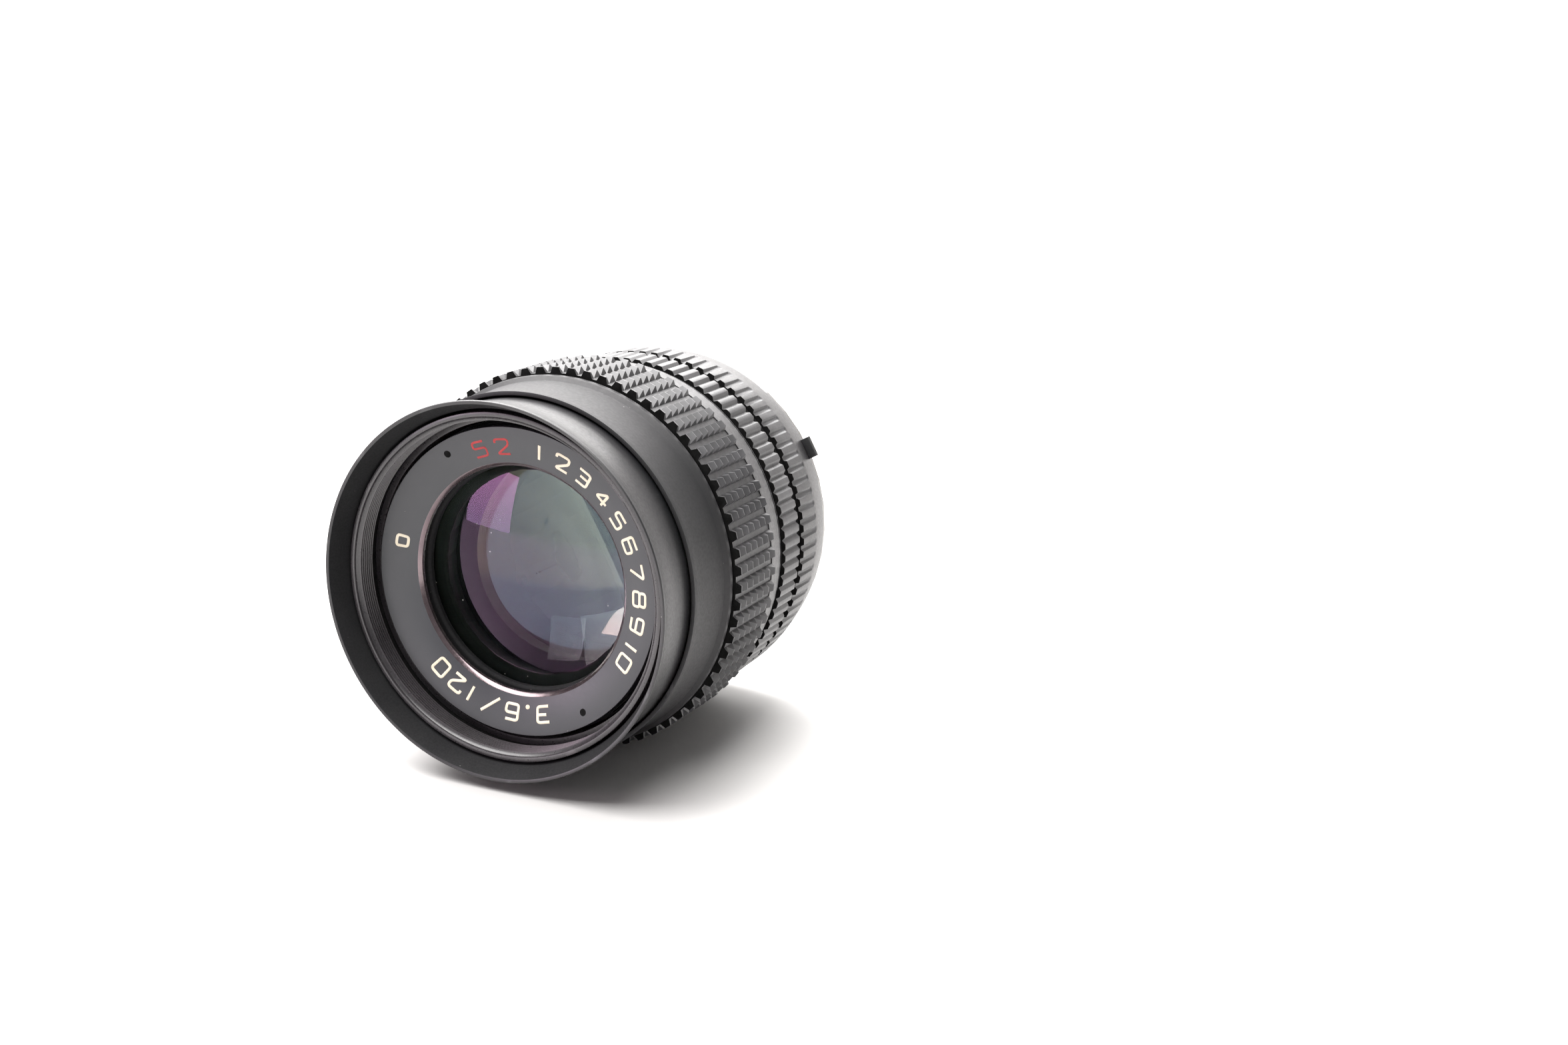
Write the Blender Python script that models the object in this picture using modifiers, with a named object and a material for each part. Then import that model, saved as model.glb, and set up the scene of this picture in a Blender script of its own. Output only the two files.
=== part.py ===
"""Prime camera lens, 100 mm f/2.8, lying on its side with its front towards -Y.

Sizes are in millimetres and are turned into metres by MM. A place along the optical axis is its distance
behind the mouth of the filter ring, so it grows from the front of the lens to its back.
"""
import math

import bmesh
import bpy
from mathutils import Matrix, Vector

MM = 0.001

# General fits
GAP = 0.3
THREAD_GAP = 0.25
SIDES = 40
INNER_SIDES = 28
SCREW_SIDES = 10

# Glass elements: radius, front curve, rear curve and centre thickness. A curve is positive when its
# centre lies behind the surface.
FRONT_GLASS_RADIUS = 18.7
FRONT_GLASS_CURVES = (55.0, -150.0)
FRONT_GLASS_THICKNESS = 7.5
FRONT_GLASS_VERTEX = 6.2
INNER_GLASS_RADIUS = 16.6
SECOND_GLASS_CURVES = (35.0, 80.0)
SECOND_GLASS_THICKNESS = 6.0
SECOND_GLASS_AIR = 0.9
THIRD_GLASS_CURVES = (-90.0, 32.0)
THIRD_GLASS_CLEAR_RADIUS = 12.5
THIRD_GLASS_THICKNESS = 1.6
REAR_GLASS_RADIUS = 15.0
REAR_GLASS_CURVES = (60.0, -70.0)
REAR_GLASS_THICKNESS = 4.6
REAR_GLASS_AIR = 3.5
SPACER_THICKNESS = 0.5
SPACER_WIDTH = 1.4
RETAINER_WIDTH = 1.2
RETAINER_THICKNESS = 1.1

# Front cell, inner barrel and filter ring
CELL_WALL = 4.1
CELL_FLANGE_THICKNESS = 1.1
SEAT_WIDTH = 1.3
INNER_BARREL_WALL = 1.3
INNER_BARREL_TAIL = 2.0
FILTER_WALL = 2.05
FILTER_LENGTH = 15.5
FILTER_LIP = 0.7
FILTER_THREAD_DEPTH = 1.25
NAME_RING_DEPTH = 3.91
NAME_RING_DISH = 1.6
NAME_RING_THICKNESS = 1.1
NAME_RING_MARGIN = 0.6
NAME_RING_CHAMFER = 0.55
SPANNER_HOLE_RADIUS = 0.5
SPANNER_HOLE_ANGLES = (122.0, 302.0)
FRICTION_RING_DEPTH = 12.0
FRICTION_RING_LENGTH = 1.6
FRICTION_RING_THICKNESS = 0.55
THRUST_RING_THICKNESS = 0.6
THRUST_RING_WIDTH = 1.2

# Hood
HOOD_GAP = 0.35
HOOD_WALL = 0.6
HOOD_LIP_REACH = 3.36
HOOD_LIP_FLARE = 1.36
HOOD_LIP_EDGE = 0.4
HOOD_CONE_END = 1.2
HOOD_WAIST = 4.0
HOOD_CLEAR = 0.4

# Focusing ring
FOCUS_TRAVEL = 17.0
NOSE_START = 7.25
NOSE_LENGTH = 11.15
NOSE_WALL = 0.69
NOSE_DIP = 0.35
NOSE_REAR_WALL = 1.65
NOSE_WEB_THICKNESS = 1.2
NOSE_SPIGOT_LENGTH = 2.2
NOSE_SPIGOT_WALL = 0.45
GROOVE_BEHIND_NOSE = 0.5
KNURL_LENGTH = 13.2
KNURL_DEPTH = 1.1
KNURL_ROWS = 36
KNURL_GROOVE_WIDTH = 1.8
GRIP_FRONT_WALL = 0.9
SCALE_BAND_LENGTH = 5.7
SCALE_BAND_TAPER = 1.0
SLEEVE_WALL = 1.0
SLEEVE_FLANGE_THICKNESS = 0.8
SLEEVE_SCREW_ANGLES = (30.0, 150.0, 270.0)
SLEEVE_SCREW_HEAD = (0.9, 0.6)
SLEEVE_SCREW_SHANK_RADIUS = 0.4

# Fixed barrel and fixed ribbed ring
BARREL_WALL = 1.6
BARREL_SHOULDER_WIDTH = 1.4
BARREL_SHOULDER_LENGTH = 2.7
RING_GAP = 0.5
RIB_RING_LENGTH = 5.7
RIB_RING_WALL = 2.6
RIB_COUNT = 36
RIB_GROOVE_WIDTH = 1.7
RIB_GROOVE_DEPTH = 0.6
RIB_RING_SCREW_ANGLES = (5.0, 125.0, 245.0)
RIB_RING_SCREW_RADIUS = 0.7
GUIDE_SCREW_ANGLES = (90.0, 270.0)
GUIDE_SCREW_HEAD = (1.5, 0.6)
GUIDE_SCREW_TIP_RADIUS = 1.0
GUIDE_SCREW_PLACE = 3.1
GUIDE_SLOT_FLOOR = 0.3

# Aperture ring, its click stop and its prong
APERTURE_STOPS = 6
DEGREES_PER_STOP = 8.0
APERTURE_HUB_WALL = 1.6
APERTURE_GROOVE_LENGTH = 1.9
APERTURE_FRONT_WALL = 2.5
APERTURE_REAR_WALL = 1.29
APERTURE_RING_SHOULDER = 0.2
APERTURE_SLOT_DEPTH = 0.7
APERTURE_SLOT_WIDTH = 1.2
APERTURE_SLOT_LENGTH = 7.4
PRONG_ANGLE = 29.8
PRONG_WIDTH = 3.6
PRONG_THICKNESS = 1.1
PRONG_RISE = 1.66
PRONG_ROOT = 0.9
DRIVE_SCREW_ANGLE = 140.0
DRIVE_SCREW_RADIUS = 0.7
DRIVE_SCREW_SHANK = (0.6, 3.2)
CLICK_ANGLE = 200.0
CLICK_BALL_RADIUS = 0.6
CLICK_HOLE_RADIUS = 0.85
CLICK_WALL = 0.2
CLICK_SPRING_TURNS = 4
CLICK_SPRING_WIRE = 0.12
CLICK_SPRING_LENGTH = 2.0
CLICK_DIMPLE_RADIUS = 0.45
CLICK_DIMPLE_DEPTH = 0.35

# Iris
IRIS_OPEN_RADIUS = 14.5
IRIS_CLOSED_RADIUS = 1.85
BLADE_COUNT = 6
BLADE_THICKNESS = 0.2
BLADE_PITCH = 0.5
BLADE_SWEEP = 125.0
BLADE_EAR = 0.9
BLADE_SHOULDER = 0.8
PIN_RADIUS = 0.5
DRIVE_PIN_OFFSET = 12.0
IRIS_PLATE = 1.0
IRIS_HOUSING_WALL = 0.6
PIVOT_INSET = 1.5
DRIVE_RING_EDGE = 0.4
IRIS_ARM_WIDTH = 1.6
IRIS_ARM_HEIGHT = 1.1
IRIS_ARM_ANGLE = 17.0
IRIS_ARM_ENGAGED = 1.2

# Iris lever ring
LEVER_RING_LENGTH = 3.0
LEVER_RING_WALL = 1.7
FORK_BAR_WIDTH = 1.4
LEVER_ANGLE = 200.0
LEVER_WIDTH = 3.0
LEVER_THICKNESS = 1.0
LEVER_BAR = 1.6

# Bayonet flange and rear baffle
FLANGE_THICKNESS = 1.3
FLANGE_RIM = 1.1
THROAT_RADIUS = 19.9
COLLAR_WALL = 1.3
COLLAR_LENGTH = 4.7
LUG_HEIGHT = 1.4
LUG_THICKNESS = 1.4
LUG_SETBACK = 2.4
LUG_COUNT = 3
LUG_ARC = 62.0
LUG_FIRST_ANGLE = 20.0
MOUNT_SCREW_COUNT = 5
MOUNT_SCREW_FIRST_ANGLE = 50.0
MOUNT_SCREW_HEAD = (1.1, 0.65)
MOUNT_SCREW_SHANK = (0.6, 2.9)
LOCK_HOLE_ANGLE = 176.0
LOCK_HOLE_RADIUS = 0.9
LOCK_HOLE_DEPTH = 0.8
BAFFLE_WALL = 0.8
BAFFLE_OPENING = 15.5
BAFFLE_THICKNESS = 1.2
BAFFLE_TUBE_LENGTH = 3.0


def sag(curve, radius):
    """How far behind its vertex a spherical surface lies at this radius."""
    depth = abs(curve) - math.sqrt(curve * curve - radius * radius)
    return math.copysign(depth, curve)


# Radii, worked out from the front glass outwards
cell_bore = FRONT_GLASS_RADIUS + GAP
cell_radius = cell_bore + CELL_WALL
barrel_tube_bore = cell_radius + GAP
inner_barrel_radius = barrel_tube_bore + INNER_BARREL_WALL
fixed_bore = inner_barrel_radius + GAP
fixed_radius = fixed_bore + BARREL_WALL
filter_bore = inner_barrel_radius + THREAD_GAP
filter_radius = filter_bore + FILTER_WALL
hood_bore = filter_radius + HOOD_GAP
hood_radius = hood_bore + HOOD_WALL
nose_bore = hood_radius + GAP
nose_radius = nose_bore + NOSE_WALL
nose_rear_radius = nose_bore + NOSE_REAR_WALL
sleeve_bore = fixed_radius + GAP
sleeve_radius = sleeve_bore + SLEEVE_WALL
spigot_bore = max(sleeve_radius + GAP, nose_bore - GAP)
spigot_radius = spigot_bore + NOSE_SPIGOT_WALL
grip_base = spigot_radius + GAP + GRIP_FRONT_WALL
grip_radius = grip_base + KNURL_DEPTH
ring_bore = fixed_radius + GAP
rib_radius = ring_bore + RIB_RING_WALL
inner_glass_bore = INNER_GLASS_RADIUS + GAP

# Places along the axis: glass and cells
name_ring_bore_edge = NAME_RING_DEPTH + NAME_RING_DISH
name_ring_back = name_ring_bore_edge + NAME_RING_THICKNESS
cell_front = name_ring_back + GAP
cell_flange_back = cell_front + CELL_FLANGE_THICKNESS
inner_barrel_front = cell_flange_back + GAP
first_seat = FRONT_GLASS_VERTEX + FRONT_GLASS_THICKNESS + sag(FRONT_GLASS_CURVES[1], inner_glass_bore) + GAP
second_vertex = FRONT_GLASS_VERTEX + FRONT_GLASS_THICKNESS + SECOND_GLASS_AIR
second_seat = second_vertex + sag(SECOND_GLASS_CURVES[0], inner_glass_bore - SEAT_WIDTH) - GAP
second_edge = second_vertex + SECOND_GLASS_THICKNESS + sag(SECOND_GLASS_CURVES[1], INNER_GLASS_RADIUS)
third_edge = second_edge + SPACER_THICKNESS + 2 * GAP
third_vertex = third_edge - sag(THIRD_GLASS_CURVES[0], INNER_GLASS_RADIUS)
third_back = third_vertex + THIRD_GLASS_THICKNESS + sag(THIRD_GLASS_CURVES[1], THIRD_GLASS_CLEAR_RADIUS)
cell_back = third_back + GAP + RETAINER_THICKNESS
iris_front = cell_back + GAP
blades_front = iris_front + IRIS_PLATE + GAP
drive_ring_front = blades_front + BLADE_COUNT * BLADE_PITCH
drive_ring_back = drive_ring_front + IRIS_PLATE
cover_front = drive_ring_back + GAP
cover_back = cover_front + IRIS_PLATE
rear_cell_front = cover_back + GAP
rear_vertex = cover_back + REAR_GLASS_AIR
rear_edge = rear_vertex + REAR_GLASS_THICKNESS + sag(REAR_GLASS_CURVES[1], REAR_GLASS_RADIUS)
rear_retainer_front = rear_edge + 2 * GAP
rear_cell_back = rear_retainer_front + RETAINER_THICKNESS + 2 * GAP
inner_barrel_back = rear_cell_back + INNER_BARREL_TAIL

# Places along the axis: arms of the iris, which stay engaged over the whole focusing travel
arm_back = rear_cell_front + FOCUS_TRAVEL + IRIS_ARM_ENGAGED
flange_front = arm_back + FLANGE_THICKNESS
flange_back = flange_front + FLANGE_THICKNESS
collar_back = flange_back + COLLAR_LENGTH
fixed_back = flange_front - GAP
shoulder_front = fixed_back - BARREL_SHOULDER_LENGTH
lever_ring_front = shoulder_front - LEVER_RING_LENGTH - LEVER_THICKNESS - GAP
lever_ring_back = lever_ring_front + LEVER_RING_LENGTH
drive_screw_place = (lever_ring_front + lever_ring_back) / 2

# Places along the axis: outer rings
nose_back = NOSE_START + NOSE_LENGTH
web_front = FILTER_LENGTH + RING_GAP
web_back = web_front + NOSE_WEB_THICKNESS
hood_back = web_front - HOOD_CLEAR
flange_of_sleeve = web_back + GAP
fixed_front = flange_of_sleeve + SLEEVE_FLANGE_THICKNESS + GAP
grip_front = nose_back + GROOVE_BEHIND_NOSE
knurl_back = grip_front + KNURL_LENGTH
grip_back = knurl_back + SCALE_BAND_LENGTH
rib_ring_front = grip_back + RING_GAP
rib_ring_back = rib_ring_front + RIB_RING_LENGTH
aperture_front = rib_ring_back + GAP
aperture_shoulder = rib_ring_back + APERTURE_GROOVE_LENGTH
aperture_back = flange_front - RING_GAP
guide_place = fixed_front + GUIDE_SCREW_PLACE

# Iris geometry
pivot_radius = cell_radius - IRIS_HOUSING_WALL - PIVOT_INSET
aperture_turn = math.radians(APERTURE_STOPS * DEGREES_PER_STOP)
blade_turn = 2 * math.asin((IRIS_OPEN_RADIUS - IRIS_CLOSED_RADIUS) / (2 * pivot_radius))
arm_radius = pivot_radius + DRIVE_RING_EDGE - GAP
lens_length = collar_back + HOOD_LIP_REACH


def make_material(name, colour, roughness, metallic, transmission=0.0):
    material = bpy.data.materials.new(name)
    material.use_nodes = True
    shader = material.node_tree.nodes["Principled BSDF"]
    shader.inputs["Base Color"].default_value = (*colour, 1.0)
    shader.inputs["Roughness"].default_value = roughness
    shader.inputs["Metallic"].default_value = metallic
    shader.inputs["Transmission Weight"].default_value = transmission
    material.diffuse_color = (*colour, 1.0)
    return material


def clear_scene():
    for thing in list(bpy.data.objects):
        bpy.data.objects.remove(thing, do_unlink=True)


def new_collection(name, hidden=False):
    collection = bpy.data.collections.new(name)
    collection.hide_render = hidden
    bpy.context.scene.collection.children.link(collection)
    return collection


clear_scene()
lens = new_collection("PrimeCameraLens")
cutters = new_collection("Cutters", hidden=True)

satin_black = make_material("satin_black_aluminium", (0.022, 0.022, 0.024), 0.38, 0.6)
matte_black = make_material("matte_black_paint", (0.012, 0.012, 0.013), 0.7, 0.0)
grip_black = make_material("grip_black", (0.02, 0.02, 0.021), 0.5, 0.3)
chrome = make_material("chromed_steel", (0.72, 0.72, 0.70), 0.22, 1.0)
brass = make_material("helicoid_brass", (0.60, 0.45, 0.20), 0.35, 1.0)
steel = make_material("screw_steel", (0.30, 0.30, 0.31), 0.35, 1.0)
blade_steel = make_material("blued_blade_steel", (0.05, 0.05, 0.06), 0.45, 0.9)
coated_glass = make_material("coated_glass", (0.80, 0.85, 0.86), 0.02, 0.0, 1.0)
black_plastic = make_material("black_plastic", (0.015, 0.015, 0.016), 0.5, 0.0)
felt = make_material("black_felt", (0.01, 0.01, 0.01), 0.95, 0.0)


def add_empty(name, parent=None):
    empty = bpy.data.objects.new(name, None)
    empty.empty_display_size = 5 * MM
    empty.parent = parent
    lens.objects.link(empty)
    return empty


# The lens stands on a flat of its grip, and its box is centred on the origin.
axis = add_empty("lens_axis")
axis.location = (0.0, (HOOD_LIP_REACH - lens_length / 2) * MM, grip_radius * MM)
axis.rotation_euler = (math.pi / 2, 0.0, 0.0)
optic_axis = add_empty("optic_block_axis", axis)
focus_axis = add_empty("focus_ring_axis", optic_axis)
hood_axis = add_empty("hood_axis", optic_axis)
aperture_axis = add_empty("aperture_ring_axis", axis)
lever_axis = add_empty("iris_lever_axis", axis)
drive_axis = add_empty("iris_drive_axis", optic_axis)


def place(name, data, parent, material=None):
    """Adds an object. One with no material is a cutter or a helper."""
    thing = bpy.data.objects.new(name, data)
    thing.parent = parent
    if material:
        data.materials.append(material)
        lens.objects.link(thing)
    else:
        thing.hide_render = True
        thing.display_type = "WIRE"
        cutters.objects.link(thing)
    return thing


def polar(radius, degrees):
    return radius * math.cos(math.radians(degrees)), radius * math.sin(math.radians(degrees))


def section_mesh(name, profile, closed):
    mesh = bpy.data.meshes.new(name)
    points = [(radius * MM, 0.0, -depth * MM) for radius, depth in profile]
    edges = [(index, index + 1) for index in range(len(points) - 1)]
    if closed:
        edges.append((len(points) - 1, 0))
    mesh.from_pydata(points, edges, [])
    return mesh


def turned(name, profile, parent, material=None, sides=SIDES, closed=True, phase=0.0):
    """Turns a section about the axis: its outer side front to back, then its bore back to front."""
    thing = place(name, section_mesh(name, profile, closed), parent, material)
    thing.rotation_euler.z = math.radians(phase)
    screw = thing.modifiers.new("turn", "SCREW")
    screw.steps = sides
    screw.render_steps = sides
    screw.use_merge_vertices = True
    screw.merge_threshold = 0.01 * MM
    screw.use_smooth_shade = False
    return thing


def ring(name, bore, radius, front, back, parent, material=None, sides=SIDES):
    profile = [(radius, front), (radius, back), (bore, back), (bore, front)]
    return turned(name, profile, parent, material, sides)


def screw_body(name, parent, spot, direction, head, shank, material=None, sides=SCREW_SIDES):
    """A screw or stepped pin: head and shank are (radius, length), and direction is where it points."""
    head_radius, head_length = head
    shank_radius, shank_length = shank
    tip = head_length + shank_length
    profile = [(0.0, 0.0), (head_radius, 0.0), (head_radius, head_length)]
    profile += [(shank_radius, head_length), (shank_radius, tip), (0.0, tip)]
    thing = turned(name, profile, parent, material, sides, closed=False)
    thing.location = Vector(spot) * MM
    thing.rotation_euler = Vector(direction).to_track_quat("-Z", "Y").to_euler()
    return thing


def mesh_object(name, builder, parent, material=None):
    """An object from a bmesh that builder fills."""
    shape = bmesh.new()
    builder(shape)
    mesh = bpy.data.meshes.new(name)
    shape.to_mesh(mesh)
    shape.free()
    return place(name, mesh, parent, material)


def add_block(shape, inner, outer, width, front, back, degrees):
    """A box that points away from the axis at this angle."""
    size = Vector((outer - inner, width, back - front)) * MM
    centre = Vector(((inner + outer) / 2, 0.0, -(front + back) / 2)) * MM
    turn = Matrix.Rotation(math.radians(degrees), 4, "Z")
    matrix = turn @ Matrix.Translation(centre) @ Matrix.Diagonal((*size, 1.0))
    bmesh.ops.create_cube(shape, size=1.0, matrix=matrix)


def block(name, inner, outer, width, front, back, degrees, parent, material=None):
    def build(shape):
        add_block(shape, inner, outer, width, front, back, degrees)
    return mesh_object(name, build, parent, material)


def block_ring(name, count, first, inner, outer, width, front, back, parent):
    """Boxes set round the axis at equal angles."""
    def build(shape):
        for index in range(count):
            add_block(shape, inner, outer, width, front, back, first + index * 360 / count)
    return mesh_object(name, build, parent)


def axial_holes(name, places, radius, front, back, parent, sides=SCREW_SIDES):
    """Round holes along the axis, each place being (distance from the axis, angle)."""
    def build(shape):
        for distance, degrees in places:
            x, y = polar(distance, degrees)
            matrix = Matrix.Translation(Vector((x, y, -(front + back) / 2)) * MM)
            bmesh.ops.create_cone(shape, cap_ends=True, segments=sides, radius1=radius * MM,
                                  radius2=radius * MM, depth=(back - front) * MM, matrix=matrix)
    return mesh_object(name, build, parent)


def radial_holes(name, angles, radius, inner, outer, depth_place, parent, sides=SCREW_SIDES):
    """Round holes that point away from the axis at one place along it."""
    def build(shape):
        for degrees in angles:
            turn = Matrix.Rotation(math.radians(degrees), 4, "Z") @ Matrix.Rotation(math.pi / 2, 4, "Y")
            x, y = polar((inner + outer) / 2, degrees)
            matrix = Matrix.Translation(Vector((x, y, -depth_place)) * MM) @ turn
            bmesh.ops.create_cone(shape, cap_ends=True, segments=sides, radius1=radius * MM,
                                  radius2=radius * MM, depth=(outer - inner) * MM, matrix=matrix)
    return mesh_object(name, build, parent)


def outline_plate(name, outlines, front, back, parent, material=None):
    """A flat plate with these closed outlines, made as a filled curve and turned into a mesh."""
    curve = bpy.data.curves.new(name, "CURVE")
    curve.dimensions = "2D"
    curve.fill_mode = "BOTH"
    curve.extrude = (back - front) / 2 * MM
    for outline in outlines:
        spline = curve.splines.new("POLY")
        spline.points.add(len(outline) - 1)
        for point, (x, y) in zip(spline.points, outline):
            point.co = (x * MM, y * MM, 0.0, 1.0)
        spline.use_cyclic_u = True
    flat = bpy.data.objects.new(name + "_outline", curve)
    mesh = bpy.data.meshes.new_from_object(flat)
    bpy.data.objects.remove(flat)
    shape = bmesh.new()
    shape.from_mesh(mesh)
    bmesh.ops.remove_doubles(shape, verts=shape.verts, dist=0.001 * MM)
    bmesh.ops.translate(shape, verts=shape.verts, vec=(0.0, 0.0, -(front + back) / 2 * MM))
    bmesh.ops.recalc_face_normals(shape, faces=shape.faces)
    shape.to_mesh(mesh)
    shape.free()
    mesh.name = name
    return place(name, mesh, parent, material)


def arc_points(radius, start, end, steps):
    return [polar(radius, start + (end - start) * step / steps) for step in range(steps + 1)]


def sector_outline(inner, outer, start, end):
    steps = max(2, round(abs(end - start) / 8))
    return arc_points(outer, start, end, steps) + arc_points(inner, end, start, steps)


def sector(name, inner, outer, front, back, start, end, parent):
    return outline_plate(name, [sector_outline(inner, outer, start, end)], front, back, parent)


def combine(thing, other, operation):
    boolean = thing.modifiers.new(operation.lower() + "_" + other.name, "BOOLEAN")
    boolean.operation = operation
    boolean.solver = "EXACT"
    boolean.object = other


def cut(thing, *others):
    for other in others:
        combine(thing, other, "DIFFERENCE")


def fuse(thing, *others):
    for other in others:
        combine(thing, other, "UNION")


def surface(vertex, curve, radius, steps=3):
    """Points of a glass surface from the axis to its edge."""
    radii = [radius * step / steps for step in range(steps + 1)]
    return [(r, vertex + sag(curve, r)) for r in radii]


def glass_element(name, vertex, thickness, curves, radius, rear_clear=None):
    front = surface(vertex, curves[0], radius)
    back = surface(vertex + thickness, curves[1], rear_clear or radius)
    if rear_clear:
        back.append((radius, back[-1][1]))
    turned(name, front + back[::-1], optic_axis, coated_glass, INNER_SIDES, closed=False)


def build_glass():
    glass_element("glass_front", FRONT_GLASS_VERTEX, FRONT_GLASS_THICKNESS, FRONT_GLASS_CURVES,
                  FRONT_GLASS_RADIUS)
    glass_element("glass_second", second_vertex, SECOND_GLASS_THICKNESS, SECOND_GLASS_CURVES,
                  INNER_GLASS_RADIUS)
    glass_element("glass_third", third_vertex, THIRD_GLASS_THICKNESS, THIRD_GLASS_CURVES,
                  INNER_GLASS_RADIUS, THIRD_GLASS_CLEAR_RADIUS)
    glass_element("glass_rear", rear_vertex, REAR_GLASS_THICKNESS, REAR_GLASS_CURVES, REAR_GLASS_RADIUS)


def build_front_cell():
    seat_bore = inner_glass_bore - SEAT_WIDTH
    cell_flange = inner_barrel_radius - NAME_RING_CHAMFER / 2
    profile = [(cell_flange, cell_front), (cell_flange, cell_flange_back)]
    profile += [(cell_radius, cell_flange_back), (cell_radius, cell_back)]
    profile += [(inner_glass_bore, cell_back), (inner_glass_bore, second_seat)]
    profile += [(seat_bore, second_seat), (seat_bore, first_seat)]
    profile += [(cell_bore, first_seat), (cell_bore, cell_front)]
    turned("front_cell", profile, optic_axis, satin_black, INNER_SIDES)
    retainer_bore = FRONT_GLASS_RADIUS - RETAINER_WIDTH
    retainer_back = FRONT_GLASS_VERTEX + sag(FRONT_GLASS_CURVES[0], retainer_bore) - GAP
    ring("front_retaining_ring", retainer_bore, cell_bore - GAP, retainer_back - RETAINER_THICKNESS,
         retainer_back, optic_axis, matte_black, INNER_SIDES)
    ring("glass_spacer", INNER_GLASS_RADIUS - SPACER_WIDTH, INNER_GLASS_RADIUS, second_edge + GAP,
         second_edge + GAP + SPACER_THICKNESS, optic_axis, matte_black, INNER_SIDES)
    ring("inner_retaining_ring", THIRD_GLASS_CLEAR_RADIUS + GAP, INNER_GLASS_RADIUS, third_back + GAP,
         cell_back, optic_axis, matte_black, INNER_SIDES)


def build_rear_cell():
    bore = REAR_GLASS_RADIUS + GAP
    seat_bore = bore - SEAT_WIDTH
    radius = arm_radius - 2 * GAP
    seat = rear_vertex + sag(REAR_GLASS_CURVES[0], seat_bore) - GAP
    profile = [(radius, rear_cell_front), (radius, rear_cell_back)]
    profile += [(bore, rear_cell_back), (bore, seat), (seat_bore, seat), (seat_bore, rear_cell_front)]
    turned("rear_cell", profile, optic_axis, satin_black, INNER_SIDES)
    ring("rear_retaining_ring", REAR_GLASS_RADIUS - RETAINER_WIDTH, REAR_GLASS_RADIUS, rear_retainer_front,
         rear_retainer_front + RETAINER_THICKNESS, optic_axis, matte_black, INNER_SIDES)


def build_name_ring():
    bore = FRONT_GLASS_RADIUS - RETAINER_WIDTH + GAP
    edge = bore + NAME_RING_CHAMFER
    radius = inner_barrel_radius - NAME_RING_MARGIN
    profile = [(radius, NAME_RING_DEPTH), (radius, name_ring_back), (bore, name_ring_back)]
    profile += [(bore, name_ring_bore_edge + NAME_RING_CHAMFER), (edge, name_ring_bore_edge)]
    thing = turned("name_ring", profile, optic_axis, satin_black)
    middle = (edge + radius) / 2
    places = [(middle, angle) for angle in SPANNER_HOLE_ANGLES]
    cut(thing, axial_holes("spanner_holes", places, SPANNER_HOLE_RADIUS, 0.0, cell_flange_back, optic_axis))


def build_filter_ring():
    thread_bore = filter_radius - FILTER_THREAD_DEPTH
    mouth = filter_radius - FILTER_LIP
    friction_end = FRICTION_RING_DEPTH + FRICTION_RING_LENGTH
    friction_radius = hood_bore - THREAD_GAP
    groove = friction_radius - FRICTION_RING_THICKNESS - THREAD_GAP
    step = NAME_RING_DEPTH + NAME_RING_DISH - GAP
    profile = [(filter_radius, 0.0), (filter_radius, FRICTION_RING_DEPTH - GAP / 2)]
    profile += [(groove, FRICTION_RING_DEPTH - GAP / 2), (groove, friction_end + GAP / 2)]
    profile += [(filter_radius, friction_end + GAP / 2), (filter_radius, FILTER_LENGTH)]
    profile += [(filter_bore, FILTER_LENGTH), (filter_bore, step)]
    profile += [(thread_bore, step), (thread_bore, mouth - thread_bore), (mouth, 0.0)]
    turned("filter_ring", profile, optic_axis, satin_black)
    ring("hood_friction_ring", friction_radius - FRICTION_RING_THICKNESS, friction_radius,
         FRICTION_RING_DEPTH, friction_end, optic_axis, felt)


def build_inner_barrel():
    floor = inner_barrel_radius - 2 * GAP
    groove_front = flange_of_sleeve - GAP / 2
    groove_back = flange_of_sleeve + THRUST_RING_THICKNESS + GAP / 2
    profile = [(inner_barrel_radius, inner_barrel_front), (inner_barrel_radius, groove_front)]
    profile += [(floor, groove_front), (floor, groove_back), (inner_barrel_radius, groove_back)]
    profile += [(inner_barrel_radius, inner_barrel_back), (barrel_tube_bore, inner_barrel_back)]
    profile += [(barrel_tube_bore, inner_barrel_front)]
    thing = turned("inner_barrel", profile, optic_axis, satin_black)
    slot_front = guide_place - GUIDE_SCREW_TIP_RADIUS - GAP
    slot_back = guide_place + FOCUS_TRAVEL + GUIDE_SCREW_TIP_RADIUS + GAP
    slot_width = 2 * (GUIDE_SCREW_TIP_RADIUS + GAP)
    for number, angle in enumerate(GUIDE_SCREW_ANGLES, 1):
        cut(thing, block(f"guide_slot_{number}", barrel_tube_bore + GUIDE_SLOT_FLOOR, fixed_bore, slot_width,
                         slot_front, slot_back, angle, optic_axis))
    ring("thrust_ring", floor + GAP, floor + GAP + THRUST_RING_WIDTH, flange_of_sleeve,
         flange_of_sleeve + THRUST_RING_THICKNESS, optic_axis, brass)


def build_hood():
    lip = hood_radius + HOOD_LIP_FLARE
    profile = [(lip, -HOOD_LIP_REACH)]
    for step in (0.25, 0.5, 0.75):
        fall = HOOD_LIP_FLARE * (1 - step) ** 2
        profile.append((hood_radius + fall, -HOOD_LIP_REACH + step * (HOOD_WAIST + HOOD_LIP_REACH)))
    profile += [(hood_radius, HOOD_WAIST), (hood_radius, hood_back), (hood_bore, hood_back)]
    profile += [(hood_bore, HOOD_CONE_END), (lip - HOOD_LIP_EDGE, -HOOD_LIP_REACH)]
    turned("lens_hood", profile, hood_axis, satin_black)


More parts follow.
